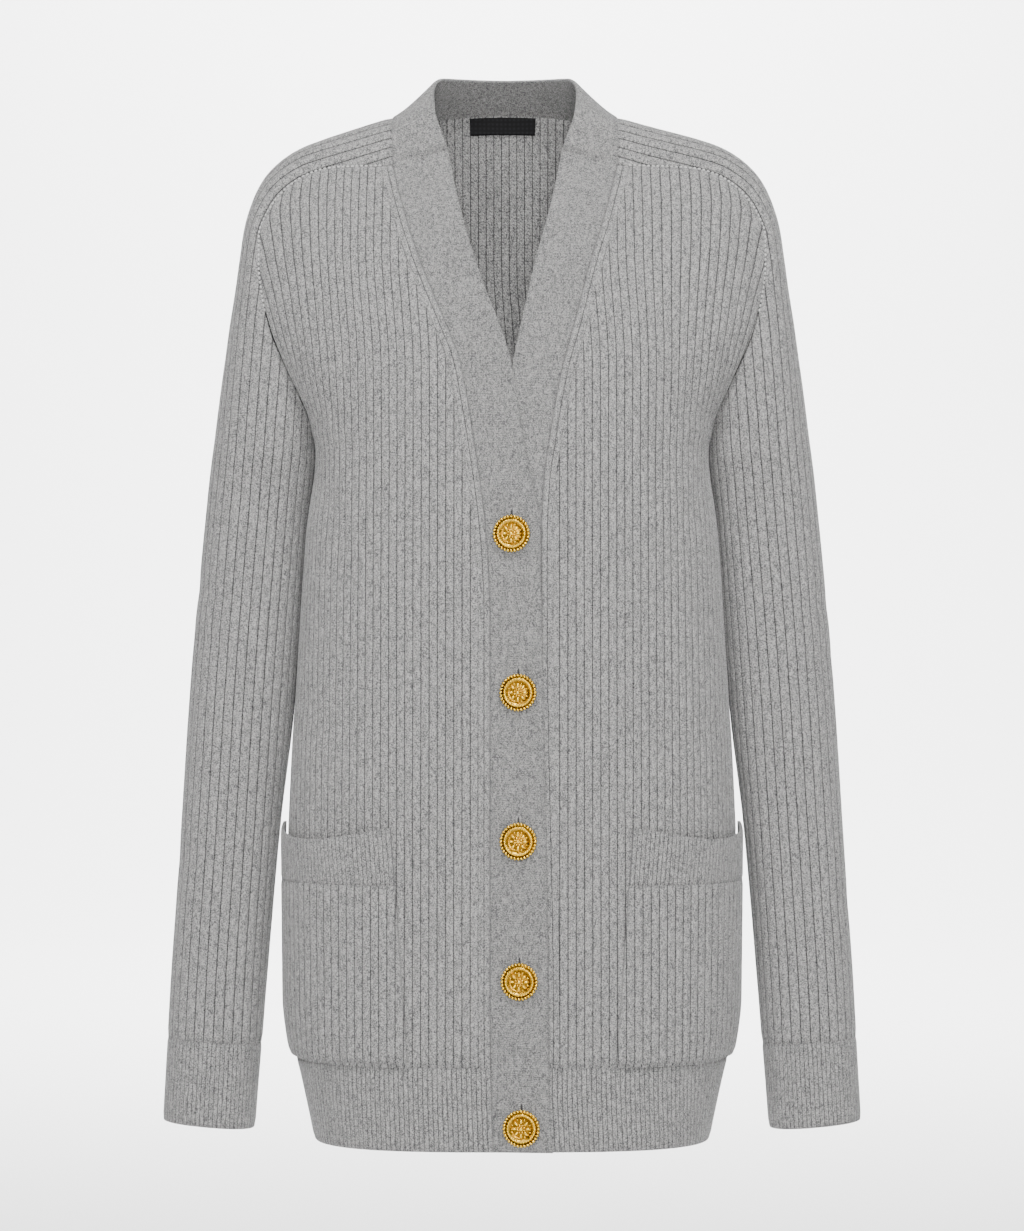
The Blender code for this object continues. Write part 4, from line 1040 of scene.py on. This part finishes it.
def cast_button(number, height, x):
    """One gilt button: the turned blank, its roped rings, its rosette and the boss in it."""
    spot, out = seat(x, height)
    turn = out.to_track_quat("Z", "Y").to_matrix().to_4x4()
    disc = bmesh.new()
    painted_light_by_height = disc.verts.layers.float.new("painted_light_by_height")
    spine = [disc.verts.new((across, 0.0, up)) for across, up in BLANK_PROFILE]
    edges = [disc.edges.new(pair) for pair in zip(spine, spine[1:])]
    bmesh.ops.spin(disc, geom=spine + edges, cent=(0, 0, 0), axis=(0, 0, 1), dvec=(0, 0, 0),
                   angle=math.tau, steps=BUTTON_STEPS, use_merge=True, use_duplicate=False)
    bmesh.ops.remove_doubles(disc, verts=disc.verts[:], dist=BLANK_WELD)
    bmesh.ops.recalc_face_normals(disc, faces=disc.faces[:])
    for count, ring_radius, up, half_long, half_wide, half_tall, slant, shift in BEAD_RINGS:
        size = Matrix.Diagonal((half_long, half_wide, half_tall, 1.0))
        bead = Matrix.Rotation(slant, 4, "Z") @ size
        for step in range(count):
            around = Matrix.Rotation(math.tau * (step + shift) / count, 4, "Z")
            place = around @ Matrix.Translation((ring_radius, 0.0, up)) @ bead
            bmesh.ops.create_icosphere(disc, subdivisions=2, radius=1.0, matrix=place)
    bmesh.ops.create_uvsphere(disc, u_segments=20, v_segments=12, radius=BOSS_RADIUS,
                              matrix=Matrix.Translation((0.0, 0.0, BOSS_HEIGHT)))
    # Painted shade and light: each point's share of bright gold grows with its height above the
    # blank's back.
    for vert in disc.verts:
        vert[painted_light_by_height] = float(smoothstep(PAINTED_SHADE_BELOW, PAINTED_LIGHT_ABOVE, vert.co.z))
    lifted = spot + out * BUTTON_OFF_CLOTH
    bmesh.ops.transform(disc, matrix=Matrix.Scale(MM, 4) @ Matrix.Translation(lifted) @ turn,
                        verts=disc.verts[:])
    node = f"button_{number}"
    stand(node + "_casting", disc, GILT, "button_metal", node)


def work_buttonholes():
    """The slits that show just above the buttons, as dark beads of painted shade, each edged with
    close stitches.
    """
    slits, edging = bmesh.new(), bmesh.new()
    for height, x in BUTTONS:
        spot, out = seat(x, height + HOLE_ABOVE)
        up = Vector((0.0, 0.0, 1.0))
        up = (up - up.dot(out) * out).normalized()
        across = Vector(np.cross(out, up))
        size = (HOLE_HALF_TALL, HOLE_HALF_WIDE, HOLE_DEEP)
        # Each slit is a flat dark bead of painted shade lying on the band.
        beads(slits, [spot + out * HOLE_OUT], [out], [up], size)
        for step in np.linspace(-1.0, 1.0, HOLE_STITCHES):
            for hand in (-1.0, 1.0):
                aside = across * hand * HOLE_HALF_WIDE * EDGING_OUT
                place = spot + up * step * HOLE_HALF_TALL + aside
                beads(edging, [place], [out], [across], HOLE_STITCH)
    stand("buttonhole_slits", slits, PAINTED_SLIT_SHADE, "knit_cloth")
    stand("buttonhole_stitches", edging, THREAD, "knit_cloth")


def hang_camera():
    """A level view from straight ahead, with a long lens."""
    view = bpy.data.cameras.new("view")
    view.lens, view.sensor_width = LENS, SENSOR
    camera = bpy.data.objects.new("view", view)
    camera.location, camera.rotation_euler = CAMERA_PLACE, (math.pi / 2, 0.0, 0.0)
    bpy.context.scene.collection.objects.link(camera)
    bpy.context.scene.camera = camera


def light_studio():
    """Large soft lamps in a white room."""
    world = bpy.data.worlds.new("studio")
    bpy.context.scene.world = world
    world.use_nodes = True
    world.node_tree.nodes["Background"].inputs["Color"].default_value = (1.0, 1.0, 1.0, 1.0)
    world.node_tree.nodes["Background"].inputs["Strength"].default_value = WORLD_LIGHT
    for name, place, aim, power, size in LAMPS:
        lamp = bpy.data.lights.new(name, "AREA")
        lamp.energy, lamp.size = power, size
        holder = bpy.data.objects.new(name, lamp)
        holder.location = place
        holder.rotation_euler = (Vector(aim) - Vector(place)).to_track_quat("-Z", "Y").to_euler()
        holder.visible_camera = False
        bpy.context.scene.collection.objects.link(holder)


def lay_backdrop():
    """A pale floor that sweeps up into a wall."""
    sweep = bmesh.new()
    turns = np.linspace(0.0, math.pi / 2, SWEEP_STEPS + 1)
    bend = [(SWEEP_WALL - SWEEP_BEND + SWEEP_BEND * math.sin(turn),
             SWEEP_FLOOR + SWEEP_BEND * (1 - math.cos(turn))) for turn in turns]
    line = [(SWEEP_NEAR, SWEEP_FLOOR), *bend, (SWEEP_WALL, SWEEP_FLOOR + SWEEP_TALL)]
    spine = [sweep.verts.new((-SWEEP_WIDE, y, z)) for y, z in line]
    edges = [sweep.edges.new(pair) for pair in zip(spine, spine[1:])]
    grown = bmesh.ops.extrude_edge_only(sweep, edges=edges)
    moved = [item for item in grown["geom"] if isinstance(item, bmesh.types.BMVert)]
    bmesh.ops.translate(sweep, verts=moved, vec=(2 * SWEEP_WIDE, 0.0, 0.0))
    mesh = bpy.data.meshes.new("backdrop")
    sweep.to_mesh(mesh)
    sweep.free()
    mesh.shade_smooth()
    mesh.materials.append(studio_paint())
    floor = bpy.data.objects.new("backdrop", mesh)
    bpy.context.scene.collection.objects.link(floor)


hang_camera()
light_studio()
lay_backdrop()
for side, hand in HAND.items():
    sew_front(side, hand)
    sew_sleeve(side, hand)
sew_back()
for number, (height, x) in enumerate(BUTTONS, 1):
    cast_button(number, height, x)
work_buttonholes()
